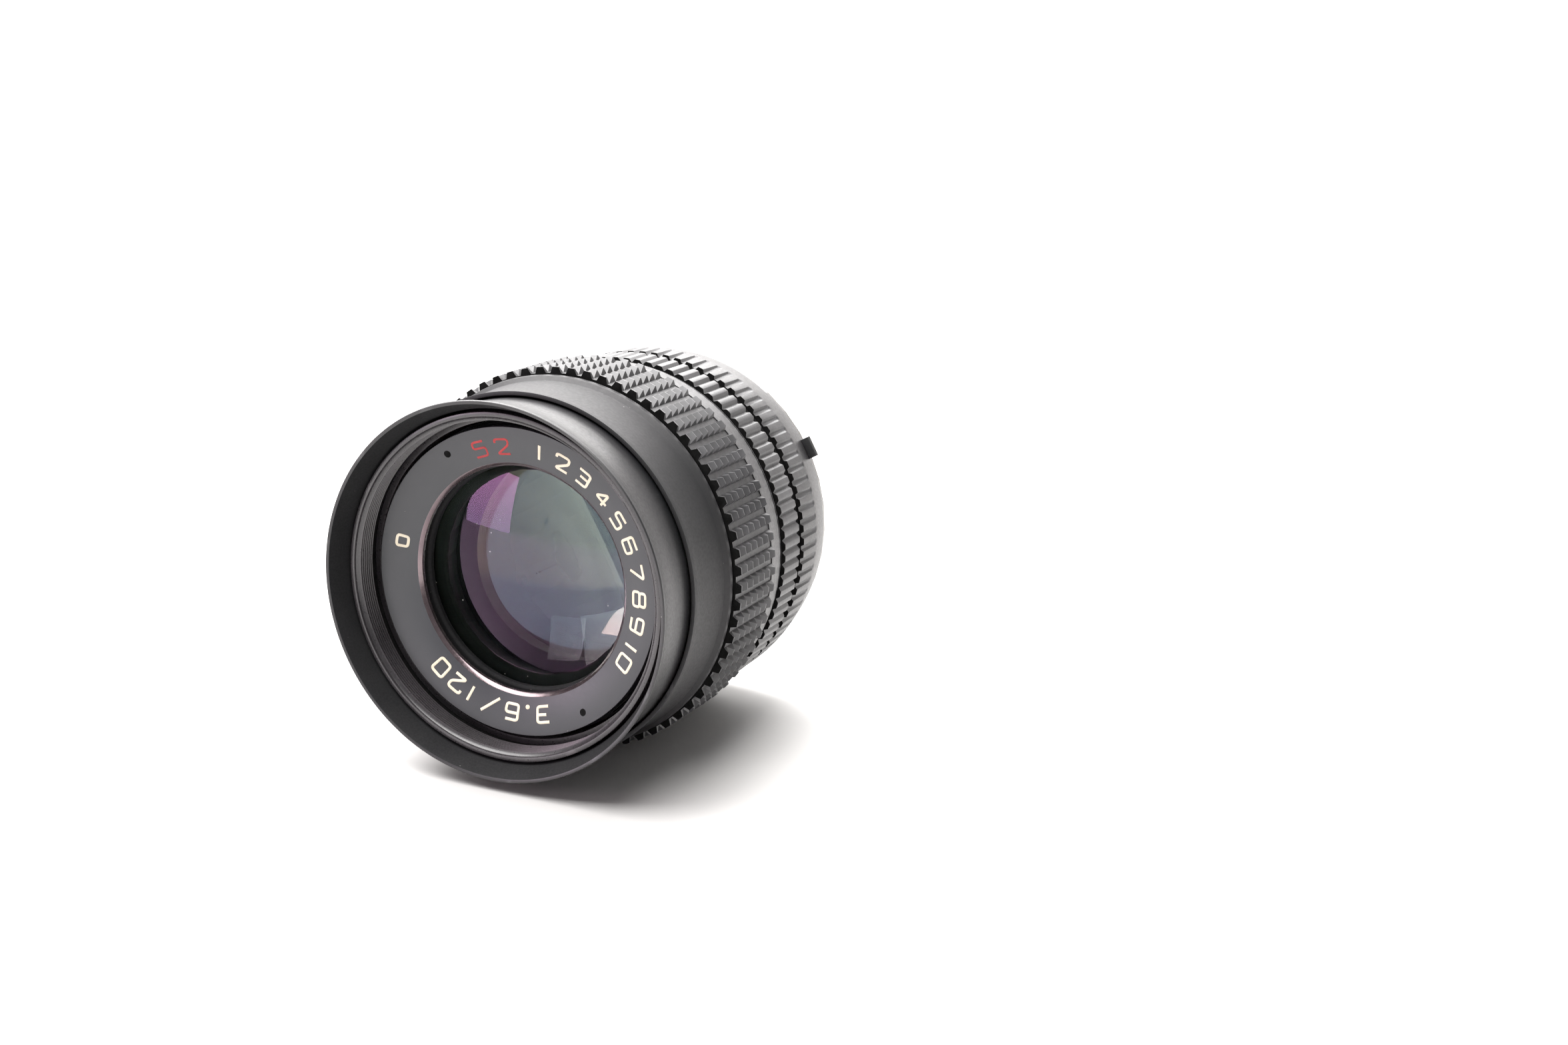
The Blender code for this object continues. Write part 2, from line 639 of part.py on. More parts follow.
def build_focusing_ring():
    profile = [(nose_radius, NOSE_START)]
    for step in (0.3, 0.6):
        rise = (nose_rear_radius - nose_radius) * step ** 2 - NOSE_DIP * math.sin(math.pi * step)
        profile.append((nose_radius + rise, NOSE_START + step * NOSE_LENGTH))
    profile += [(nose_rear_radius, nose_back), (spigot_radius, nose_back)]
    profile += [(spigot_radius, nose_back + NOSE_SPIGOT_LENGTH), (spigot_bore, nose_back + NOSE_SPIGOT_LENGTH)]
    profile += [(spigot_bore, web_back), (fixed_bore, web_back), (fixed_bore, web_front)]
    profile += [(nose_bore, web_front), (nose_bore, NOSE_START)]
    nose = turned("nose_ring", profile, focus_axis, satin_black)

    flange_bore = inner_barrel_radius + THRUST_RING_WIDTH
    profile = [(sleeve_radius, flange_of_sleeve), (sleeve_radius, grip_back - GAP / 2)]
    profile += [(sleeve_bore, grip_back - GAP / 2), (sleeve_bore, fixed_front - GAP)]
    profile += [(flange_bore, fixed_front - GAP), (flange_bore, flange_of_sleeve)]
    sleeve = turned("focus_sleeve", profile, focus_axis, brass)

    head_radius, head_length = SLEEVE_SCREW_HEAD
    circle = (flange_bore + sleeve_radius) / 2
    places = [(circle, angle) for angle in SLEEVE_SCREW_ANGLES]
    head_back = web_front + head_length + GAP / 2
    hole_radius = SLEEVE_SCREW_SHANK_RADIUS + GAP
    counterbores = axial_holes("sleeve_counterbores", places, head_radius + GAP, web_front - GAP,
                               head_back + GAP / 2, focus_axis)
    holes = axial_holes("sleeve_screw_holes", places, hole_radius, web_front, fixed_front, focus_axis)
    cut(nose, counterbores, holes)
    cut(sleeve, holes)
    for number, (distance, angle) in enumerate(places, 1):
        spot = (*polar(distance, angle), -(head_back - head_length))
        shank = (SLEEVE_SCREW_SHANK_RADIUS, fixed_front - GAP - head_back)
        screw_body(f"sleeve_screw_{number}", focus_axis, spot, (0, 0, -1), SLEEVE_SCREW_HEAD, shank, steel)

    front_bore = spigot_radius + GAP
    bore_back = nose_back + NOSE_SPIGOT_LENGTH + GAP
    grip_bore = sleeve_radius + GAP
    facet = math.cos(math.pi / KNURL_ROWS)
    profile = [(grip_radius / facet, grip_front), (grip_radius / facet, knurl_back)]
    profile += [(grip_base / facet, knurl_back), ((grip_base - SCALE_BAND_TAPER) / facet, grip_back)]
    profile += [(grip_bore, grip_back), (grip_bore, bore_back), (front_bore, bore_back)]
    profile += [(front_bore, grip_front)]
    half_row = 180 / KNURL_ROWS
    grip = turned("focus_grip", profile, focus_axis, grip_black, KNURL_ROWS, phase=half_row)
    cut(grip, block_ring("knurl_grooves", KNURL_ROWS, half_row, grip_base, grip_radius + KNURL_DEPTH,
                         KNURL_GROOVE_WIDTH, grip_front - GAP, knurl_back - GAP, focus_axis))


def build_fixed_barrel():
    shoulder_bore = fixed_bore - BARREL_SHOULDER_WIDTH
    profile = [(fixed_radius, fixed_front), (fixed_radius, fixed_back), (shoulder_bore, fixed_back)]
    profile += [(shoulder_bore, shoulder_front), (fixed_bore, shoulder_front), (fixed_bore, fixed_front)]
    barrel = turned("fixed_barrel", profile, axis, brass)
    side = math.degrees(math.atan2(DRIVE_SCREW_RADIUS + 2 * GAP, fixed_bore))
    slot_end = DRIVE_SCREW_ANGLE + math.degrees(aperture_turn)
    cut(barrel, sector("drive_slot", fixed_bore - GAP, fixed_radius + GAP,
                       drive_screw_place - DRIVE_SCREW_RADIUS - GAP,
                       drive_screw_place + DRIVE_SCREW_RADIUS + GAP,
                       DRIVE_SCREW_ANGLE - side, slot_end + side, axis))
    head_radius, head_length = GUIDE_SCREW_HEAD
    head_floor = fixed_radius - GAP / 2 - head_length
    cut(barrel, radial_holes("guide_holes", GUIDE_SCREW_ANGLES, GUIDE_SCREW_TIP_RADIUS + GAP,
                             fixed_bore - GAP, fixed_radius + GAP, guide_place, axis))
    cut(barrel, radial_holes("guide_counterbores", GUIDE_SCREW_ANGLES, head_radius + GAP,
                             head_floor - GAP, fixed_radius + GAP, guide_place, axis))
    slot_floor = barrel_tube_bore + GUIDE_SLOT_FLOOR
    for number, angle in enumerate(GUIDE_SCREW_ANGLES, 1):
        top = fixed_radius - GAP / 2
        x, y = polar(1.0, angle)
        tip_length = head_floor - slot_floor - GAP
        screw_body(f"guide_screw_{number}", axis, (x * top, y * top, -guide_place), (-x, -y, 0),
                   GUIDE_SCREW_HEAD, (GUIDE_SCREW_TIP_RADIUS, tip_length), steel)
    return barrel


def build_ribbed_ring():
    thing = ring("fixed_rib_ring", ring_bore, rib_radius, rib_ring_front, rib_ring_back, axis, satin_black)
    cut(thing, block_ring("rib_grooves", RIB_COUNT, 0.0, rib_radius - RIB_GROOVE_DEPTH,
                          rib_radius + RIB_GROOVE_DEPTH, RIB_GROOVE_WIDTH, rib_ring_front - GAP,
                          rib_ring_back + GAP, axis))
    middle = (rib_ring_front + rib_ring_back) / 2
    cut(thing, radial_holes("rib_ring_screw_holes", RIB_RING_SCREW_ANGLES, RIB_RING_SCREW_RADIUS + GAP,
                            ring_bore - GAP, rib_radius + GAP, middle, axis))
    screw_top = rib_radius - RIB_GROOVE_DEPTH
    for number, angle in enumerate(RIB_RING_SCREW_ANGLES, 1):
        x, y = polar(1.0, angle)
        half = (screw_top - ring_bore) / 2
        screw_body(f"rib_ring_screw_{number}", axis, (x * screw_top, y * screw_top, -middle), (-x, -y, 0),
                   (RIB_RING_SCREW_RADIUS, half), (RIB_RING_SCREW_RADIUS - GAP / 3, half), steel)
    click_circle = ring_bore + CLICK_HOLE_RADIUS + CLICK_WALL
    spring_front = rib_ring_back - 2 * CLICK_BALL_RADIUS - CLICK_SPRING_LENGTH - GAP / 2
    cut(thing, axial_holes("click_hole", [(click_circle, CLICK_ANGLE)], CLICK_HOLE_RADIUS,
                           spring_front - GAP, rib_ring_back + GAP, axis))
    build_click_stop(click_circle, spring_front)
    return click_circle


def build_click_stop(circle, spring_front):
    x, y = polar(circle, CLICK_ANGLE)
    ball_centre = rib_ring_back + GAP / 2 - CLICK_BALL_RADIUS

    def build_ball(shape):
        matrix = Matrix.Translation(Vector((x, y, -ball_centre)) * MM)
        bmesh.ops.create_uvsphere(shape, u_segments=10, v_segments=6, radius=CLICK_BALL_RADIUS * MM,
                                  matrix=matrix)
    mesh_object("click_ball", build_ball, axis, steel)

    curve = bpy.data.curves.new("click_spring", "CURVE")
    curve.dimensions = "3D"
    curve.bevel_depth = CLICK_SPRING_WIRE * MM
    curve.bevel_resolution = 0
    curve.use_fill_caps = True
    coil = CLICK_BALL_RADIUS - CLICK_SPRING_WIRE
    steps = CLICK_SPRING_TURNS * 8
    run = CLICK_SPRING_LENGTH - 2 * CLICK_SPRING_WIRE - GAP
    spline = curve.splines.new("POLY")
    spline.points.add(steps)
    for step, point in enumerate(spline.points):
        dx, dy = polar(coil, step * 45)
        depth = spring_front + CLICK_SPRING_WIRE + run * step / steps
        point.co = (*(Vector((x + dx, y + dy, -depth)) * MM), 1.0)
    place("click_spring", curve, axis, steel)


def build_aperture_ring(click_circle):
    hub = ring_bore + APERTURE_HUB_WALL
    front = ring_bore + APERTURE_FRONT_WALL
    rear = ring_bore + APERTURE_REAR_WALL
    slot_back = aperture_shoulder + APERTURE_SLOT_LENGTH
    middle_radius = front - APERTURE_RING_SHOULDER * (front - rear)
    profile = [(hub, aperture_front), (hub, aperture_shoulder), (front, aperture_shoulder)]
    profile += [(middle_radius, slot_back), (rear, aperture_back), (ring_bore, aperture_back)]
    profile += [(ring_bore, aperture_front)]
    thing = turned("aperture_ring", profile, aperture_axis, satin_black)
    cut(thing, block_ring("aperture_slots", RIB_COUNT, 0.0, front - APERTURE_SLOT_DEPTH, front + GAP,
                          APERTURE_SLOT_WIDTH, aperture_shoulder - GAP, slot_back, aperture_axis))
    clicks = [(click_circle, CLICK_ANGLE - index * DEGREES_PER_STOP) for index in range(APERTURE_STOPS + 1)]
    cut(thing, axial_holes("click_dimples", clicks, CLICK_DIMPLE_RADIUS, aperture_front - GAP,
                           aperture_front + CLICK_DIMPLE_DEPTH, aperture_axis, sides=6))
    pocket_front = aperture_back - PRONG_THICKNESS - GAP
    prong_inner = rear - PRONG_ROOT
    cut(thing, block("prong_pocket", prong_inner - GAP, front + GAP, PRONG_WIDTH + 2 * GAP, pocket_front,
                     aperture_back + GAP, PRONG_ANGLE, aperture_axis))
    block("coupling_prong", prong_inner, rear + PRONG_RISE, PRONG_WIDTH, aperture_back - PRONG_THICKNESS,
          aperture_back, PRONG_ANGLE, aperture_axis, black_plastic)
    cut(thing, radial_holes("drive_screw_hole", [DRIVE_SCREW_ANGLE], DRIVE_SCREW_RADIUS + GAP,
                            ring_bore - GAP, front + GAP, drive_screw_place, aperture_axis))
    top = front - APERTURE_SLOT_DEPTH
    x, y = polar(1.0, DRIVE_SCREW_ANGLE)
    screw_body("aperture_drive_screw", aperture_axis, (x * top, y * top, -drive_screw_place), (-x, -y, 0),
               (DRIVE_SCREW_RADIUS, top - ring_bore), DRIVE_SCREW_SHANK, steel)


def pin_path(fraction):
    """Where a blade's drive pin is, from the axis, when the blade has turned this share of its range."""
    start = Vector(polar(pivot_radius, DRIVE_PIN_OFFSET))
    pivot = Vector((pivot_radius, 0.0))
    turn = Matrix.Rotation(blade_turn * fraction, 2)
    return pivot + turn @ (start - pivot)


def drive_slot_outline(first_angle, steps=8):
    """The slot that moves a blade's drive pin: the pin's own path, seen from the turning drive ring."""
    half = PIN_RADIUS + GAP
    centres = []
    for step in range(steps + 1):
        fraction = step / steps
        turn = Matrix.Rotation(math.radians(first_angle) - aperture_turn * fraction, 2)
        centres.append(turn @ pin_path(fraction))
    left, right = [], []
    for index, centre in enumerate(centres):
        before = centres[max(index - 1, 0)]
        after = centres[min(index + 1, steps)]
        along = (after - before).normalized()
        shift = Vector((0.0, 0.0))
        if index == 0:
            shift = -along * half
        if index == steps:
            shift = along * half
        side = Vector((-along.y, along.x)) * half
        left.append(tuple(centre + shift + side))
        right.append(tuple(centre + shift - side))
    return left + right[::-1]


def blade_outline():
    """A crescent from the pivot ear round to its tip, about the optical axis with the pivot at angle 0."""
    outer = pivot_radius - BLADE_SHOULDER
    ear = pivot_radius + BLADE_EAR
    ear_side = math.degrees(BLADE_EAR / pivot_radius)
    inner_edge = arc_points(IRIS_OPEN_RADIUS + GAP, -ear_side - 1.5, BLADE_SWEEP, 12)
    tip = [polar((outer + IRIS_OPEN_RADIUS) / 2, BLADE_SWEEP + 4)]
    outer_edge = arc_points(outer, BLADE_SWEEP, DRIVE_PIN_OFFSET + ear_side + 2, 9)
    ear_edge = arc_points(ear, DRIVE_PIN_OFFSET + ear_side - 0.6, 0.6 - ear_side, 3)
    return inner_edge + tip + outer_edge + ear_edge + [polar(pivot_radius - BLADE_EAR, -ear_side - 1.5)]


def build_iris():
    cavity = cell_radius - IRIS_HOUSING_WALL
    opening = IRIS_OPEN_RADIUS + GAP
    profile = [(cell_radius, iris_front), (cell_radius, drive_ring_back), (cavity, drive_ring_back)]
    profile += [(cavity, iris_front + IRIS_PLATE), (opening, iris_front + IRIS_PLATE), (opening, iris_front)]
    housing = turned("iris_housing", profile, optic_axis, matte_black)
    places = [(pivot_radius, index * 360 / BLADE_COUNT) for index in range(BLADE_COUNT)]
    cut(housing, axial_holes("pivot_holes", places, PIN_RADIUS + GAP, iris_front - GAP,
                             iris_front + IRIS_PLATE + GAP / 2, optic_axis, sides=8))

    cover = ring("iris_cover", opening, cell_radius, cover_front, cover_back, optic_axis, matte_black)
    side = math.degrees((IRIS_ARM_WIDTH / 2 + 2 * GAP) / arm_radius)
    cut(cover, sector("cover_notch", arm_radius - GAP, cell_radius + 2 * GAP,
                      cover_front - GAP, cover_back + GAP,
                      IRIS_ARM_ANGLE - side, IRIS_ARM_ANGLE + math.degrees(aperture_turn) + side, optic_axis))

    drive = ring("iris_drive_ring", opening + GAP, cavity - GAP, drive_ring_front, drive_ring_back, drive_axis,
                 blade_steel)
    slots = [drive_slot_outline(angle) for _, angle in places]
    cut(drive, outline_plate("drive_slots", slots, drive_ring_front - GAP, drive_ring_back + GAP, drive_axis))
    fuse(drive, block("iris_arm", arm_radius, arm_radius + IRIS_ARM_HEIGHT, IRIS_ARM_WIDTH,
                      drive_ring_front + IRIS_PLATE / 4, arm_back, IRIS_ARM_ANGLE, drive_axis))

    outline = blade_outline()
    for index, (_, angle) in enumerate(places):
        build_blade(index, angle, outline)


def build_blade(index, angle, outline):
    """One blade, turned about its pivot, which is the origin of the empty that carries it."""
    pivot = add_empty(f"iris_blade_{index + 1}_pivot", optic_axis)
    pivot.location = Vector((*polar(pivot_radius, angle), 0.0)) * MM
    pivot.rotation_euler.z = math.radians(angle)
    front = blades_front + index * BLADE_PITCH
    shifted = [(x - pivot_radius, y) for x, y in outline]
    blade = outline_plate(f"iris_blade_{index + 1}", [shifted], front, front + BLADE_THICKNESS, pivot,
                          blade_steel)
    middle = front + BLADE_THICKNESS / 2

    def pin(name, x, y, start, end):
        def build(shape):
            matrix = Matrix.Translation(Vector((x, y, -(start + end) / 2)) * MM)
            bmesh.ops.create_cone(shape, cap_ends=True, segments=8, radius1=PIN_RADIUS * MM,
                                  radius2=PIN_RADIUS * MM, depth=(end - start) * MM, matrix=matrix)
        return mesh_object(name, build, pivot)
    drive_x, drive_y = polar(pivot_radius, DRIVE_PIN_OFFSET)
    pivot_pin = pin(f"pivot_pin_{index + 1}", 0.0, 0.0, iris_front + GAP / 2, middle)
    drive_pin = pin(f"drive_pin_{index + 1}", drive_x - pivot_radius, drive_y, middle,
                    drive_ring_back - GAP / 2)
    fuse(blade, pivot_pin, drive_pin)


def build_lever_ring():
    radius = fixed_bore - GAP
    bore = radius - LEVER_RING_WALL
    thing = ring("iris_lever_ring", bore, radius, lever_ring_front, lever_ring_back, lever_axis, blade_steel)
    spread = math.degrees((IRIS_ARM_WIDTH / 2 + GAP + FORK_BAR_WIDTH / 2) / arm_radius)
    for number, angle in enumerate((IRIS_ARM_ANGLE - spread, IRIS_ARM_ANGLE + spread), 1):
        fuse(thing, block(f"fork_bar_{number}", arm_radius, bore + GAP / 2, FORK_BAR_WIDTH, rear_cell_front,
                          lever_ring_back - GAP, angle, lever_axis))
    lever_outer = THROAT_RADIUS - GAP
    lever_inner = lever_outer - LEVER_THICKNESS
    fuse(thing, block("lever_arm", lever_inner + LEVER_THICKNESS / 2, bore + LEVER_RING_WALL / 2, LEVER_WIDTH,
                      lever_ring_back - LEVER_BAR / 2, lever_ring_back + LEVER_BAR / 2, LEVER_ANGLE, lever_axis))
    fuse(thing, block("lever_tongue", lever_inner, lever_outer, LEVER_WIDTH - GAP, lever_ring_back,
                      collar_back - GAP, LEVER_ANGLE, lever_axis))
    cut(thing, radial_holes("lever_ring_screw_hole", [DRIVE_SCREW_ANGLE], DRIVE_SCREW_RADIUS + GAP,
                            bore - GAP, radius + GAP, drive_screw_place, lever_axis))


def build_mount(barrel):
    collar = THROAT_RADIUS + COLLAR_WALL
    lug_radius = collar + LUG_HEIGHT
    lug_front = flange_back + LUG_SETBACK
    lug_back = lug_front + LUG_THICKNESS
    rim = fixed_radius + FLANGE_RIM
    profile = [(rim, flange_front), (rim, flange_back), (collar, flange_back), (collar, lug_front)]
    profile += [(lug_radius, lug_front), (lug_radius, lug_back), (collar, lug_back), (collar, collar_back)]
    profile += [(THROAT_RADIUS, collar_back), (THROAT_RADIUS, flange_front)]
    flange = turned("mount_flange", profile, axis, chrome)
    for number in range(LUG_COUNT):
        start = LUG_FIRST_ANGLE + LUG_ARC + number * 360 / LUG_COUNT
        end = LUG_FIRST_ANGLE + (number + 1) * 360 / LUG_COUNT
        cut(flange, sector(f"lug_gap_{number + 1}", collar + GAP / 3, lug_radius + GAP, lug_front - GAP,
                           lug_back + GAP, start, end, axis))
    circle = (rim + lug_radius) / 2
    step = 360 / MOUNT_SCREW_COUNT
    places = [(circle, MOUNT_SCREW_FIRST_ANGLE + index * step) for index in range(MOUNT_SCREW_COUNT)]
    head_radius, head_length = MOUNT_SCREW_HEAD
    shank_radius, shank_length = MOUNT_SCREW_SHANK
    head_back = flange_back - GAP / 3
    head_front = head_back - head_length
    cut(flange, axial_holes("mount_counterbores", places, head_radius + GAP, head_front - GAP / 3,
                            flange_back + GAP, axis))
    holes = axial_holes("mount_screw_holes", places, shank_radius + GAP, head_front - shank_length - GAP,
                        flange_back - GAP, axis)
    cut(flange, holes)
    cut(barrel, holes)
    lock_place = [(circle, LOCK_HOLE_ANGLE)]
    cut(flange, axial_holes("lock_pin_hole", lock_place, LOCK_HOLE_RADIUS, flange_back - LOCK_HOLE_DEPTH,
                            flange_back + GAP, axis))
    for number, (distance, angle) in enumerate(places, 1):
        spot = (*polar(distance, angle), -head_back)
        screw_body(f"mount_screw_{number}", axis, spot, (0, 0, 1), MOUNT_SCREW_HEAD, MOUNT_SCREW_SHANK,
                   steel)

    baffle_front = flange_back + GAP
    tube_front = baffle_front - BAFFLE_TUBE_LENGTH
    baffle_back = baffle_front + BAFFLE_THICKNESS
    tube = BAFFLE_OPENING + BAFFLE_WALL
    disc = THROAT_RADIUS - GAP
    profile = [(tube, tube_front), (tube, baffle_front), (disc, baffle_front), (disc, baffle_back)]
    profile += [(BAFFLE_OPENING, baffle_back), (BAFFLE_OPENING, tube_front)]
    baffle = turned("rear_baffle", profile, axis, black_plastic)
    side = math.degrees((LEVER_WIDTH / 2 + 2 * GAP) / (disc - LEVER_THICKNESS))
    cut(baffle, sector("lever_notch", disc - LEVER_THICKNESS - GAP, disc + 2 * GAP, baffle_front - GAP,
                       baffle_back + GAP, LEVER_ANGLE - side, LEVER_ANGLE + math.degrees(aperture_turn) + side,
                       axis))


def build_lens():
    build_hood()
    build_filter_ring()
    build_name_ring()
    build_glass()
    build_front_cell()
    build_inner_barrel()
    build_rear_cell()
    build_iris()
    build_lever_ring()
    build_focusing_ring()
    barrel = build_fixed_barrel()
    click_circle = build_ribbed_ring()
    build_aperture_ring(click_circle)
    build_mount(barrel)
    print(f"lens {lens_length:.4f} mm long, grip radius {grip_radius:.4f} mm")
    print(f"flange face at {flange_back:.4f} mm")
    print(f"blade turn {math.degrees(blade_turn):.3f} deg, ratio {blade_turn / aperture_turn:.6f}")


build_lens()
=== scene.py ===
import math

import bmesh
import bpy
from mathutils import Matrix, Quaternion, Vector


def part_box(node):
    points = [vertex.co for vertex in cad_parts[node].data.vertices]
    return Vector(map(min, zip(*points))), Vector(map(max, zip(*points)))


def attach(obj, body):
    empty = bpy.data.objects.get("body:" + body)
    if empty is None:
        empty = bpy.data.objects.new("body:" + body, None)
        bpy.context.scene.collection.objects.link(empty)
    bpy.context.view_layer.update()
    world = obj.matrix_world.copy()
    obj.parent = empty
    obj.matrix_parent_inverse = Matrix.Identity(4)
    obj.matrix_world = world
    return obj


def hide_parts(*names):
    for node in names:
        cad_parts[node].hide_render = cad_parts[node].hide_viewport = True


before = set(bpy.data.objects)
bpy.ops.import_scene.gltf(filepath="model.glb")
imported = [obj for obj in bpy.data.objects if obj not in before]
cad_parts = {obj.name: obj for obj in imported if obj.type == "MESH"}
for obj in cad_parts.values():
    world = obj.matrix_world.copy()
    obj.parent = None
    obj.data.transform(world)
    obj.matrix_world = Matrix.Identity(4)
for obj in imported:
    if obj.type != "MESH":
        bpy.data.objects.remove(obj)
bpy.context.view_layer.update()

mm = 0.001
filterLow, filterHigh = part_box("filter_ring")
mouthY = filterLow.y  # front face of the filter ring, where depth is 0
axisZ = (filterLow.z + filterHigh.z) / 2
axisPoint = Vector((0, mouthY, axisZ))


# Materials

def newFinish(name):
    finish = bpy.data.materials.new(name)
    finish.use_nodes = True
    tree = finish.node_tree
    shader = tree.nodes["Principled BSDF"]
    places = tree.nodes.new("ShaderNodeTexCoord").outputs["Object"]
    return finish, tree, shader, places


def noiseOf(tree, places, scale, detail=3.0):
    noise = tree.nodes.new("ShaderNodeTexNoise")
    noise.inputs["Scale"].default_value = scale
    noise.inputs["Detail"].default_value = detail
    tree.links.new(places, noise.inputs["Vector"])
    return noise.outputs["Fac"]


def spread(tree, value, low, high, start=0.3, end=0.7):
    remap = tree.nodes.new("ShaderNodeMapRange")
    remap.inputs["From Min"].default_value = start
    remap.inputs["From Max"].default_value = end
    remap.inputs["To Min"].default_value = low
    remap.inputs["To Max"].default_value = high
    tree.links.new(value, remap.inputs["Value"])
    return remap.outputs["Result"]


def blendColours(tree, amount, first, second):
    mix = tree.nodes.new("ShaderNodeMix")
    mix.data_type = "RGBA"
    tree.links.new(amount, mix.inputs["Factor"])
    for socket, colour in ((mix.inputs["A"], first), (mix.inputs["B"], second)):
        if isinstance(colour, tuple):
            socket.default_value = (*colour, 1)
        else:
            tree.links.new(colour, socket)
    return mix.outputs["Result"]


def multiply(tree, first, second):
    product = tree.nodes.new("ShaderNodeMath")
    product.operation = "MULTIPLY"
    tree.links.new(first, product.inputs[0])
    tree.links.new(second, product.inputs[1])
    return product.outputs[0]


def specks(tree, places, scale, size, share):
    cells = tree.nodes.new("ShaderNodeTexVoronoi")
    cells.inputs["Scale"].default_value = scale
    tree.links.new(places, cells.inputs["Vector"])
    near = spread(tree, cells.outputs["Distance"], 1.0, 0.0, size * 0.6, size)
    split = tree.nodes.new("ShaderNodeSeparateColor")
    tree.links.new(cells.outputs["Color"], split.inputs["Color"])
    kept = spread(tree, split.outputs["Red"], 0.0, 1.0, 1 - share, 1 - share + 0.02)
    return multiply(tree, near, kept)


def addBump(tree, shader, height, strength, distance):
    bump = tree.nodes.new("ShaderNodeBump")
    bump.inputs["Strength"].default_value = strength
    bump.inputs["Distance"].default_value = distance
    tree.links.new(height, bump.inputs["Height"])
    earlier = shader.inputs["Normal"].links
    if earlier:
        tree.links.new(earlier[0].from_socket, bump.inputs["Normal"])
    tree.links.new(bump.outputs["Normal"], shader.inputs["Normal"])


# A look holds two shades that mix in soft patches, a range of roughness, and optional rubbed edges and dust

edgeWear = {"from": 0.52, "to": 0.6, "least": 0.1}
dust = {"scales": (520, 1150), "colour": (0.32, 0.31, 0.3)}


def coatedMetal(name, look):
    finish, tree, shader, places = newFinish(name)
    patches = noiseOf(tree, places, look["patchScale"])
    colour = blendColours(tree, spread(tree, patches, 0, 1), look["dark"], look["light"])
    if look.get("wear"):
        edges = tree.nodes.new("ShaderNodeNewGeometry").outputs["Pointiness"]
        sharpEdges = spread(tree, edges, 0, 1, edgeWear["from"], edgeWear["to"])
        rubbed = multiply(tree, sharpEdges, spread(tree, patches, edgeWear["least"], look["wear"]))
        colour = blendColours(tree, rubbed, colour, look["worn"])
    roughness = spread(tree, noiseOf(tree, places, look["grainScale"]), *look["roughness"])
    if look.get("dust"):
        size, share = look["dust"]
        for scale in dust["scales"]:
            dots = specks(tree, places, scale, size, share)
            colour = blendColours(tree, dots, colour, dust["colour"])
    tree.links.new(colour, shader.inputs["Base Color"])
    tree.links.new(roughness, shader.inputs["Roughness"])
    shader.inputs["Metallic"].default_value = look.get("metallic", 0.0)
    shader.inputs["Specular IOR Level"].default_value = look.get("gloss", 0.5)
    if look.get("turning"):
        lines = tree.nodes.new("ShaderNodeTexWave")
        lines.bands_direction = "Y"
        lines.inputs["Scale"].default_value = look["turning"]
        lines.inputs["Distortion"].default_value = 1.5
        lines.inputs["Detail"].default_value = 2.0
        tree.links.new(places, lines.inputs["Vector"])
        addBump(tree, shader, lines.outputs["Fac"], look.get("turningDepth", 0.1), 0.00001)
    grain = noiseOf(tree, places, look["grainScale"] * 2, 4.0)
    addBump(tree, shader, grain, look["grain"], 0.00002)
    return finish


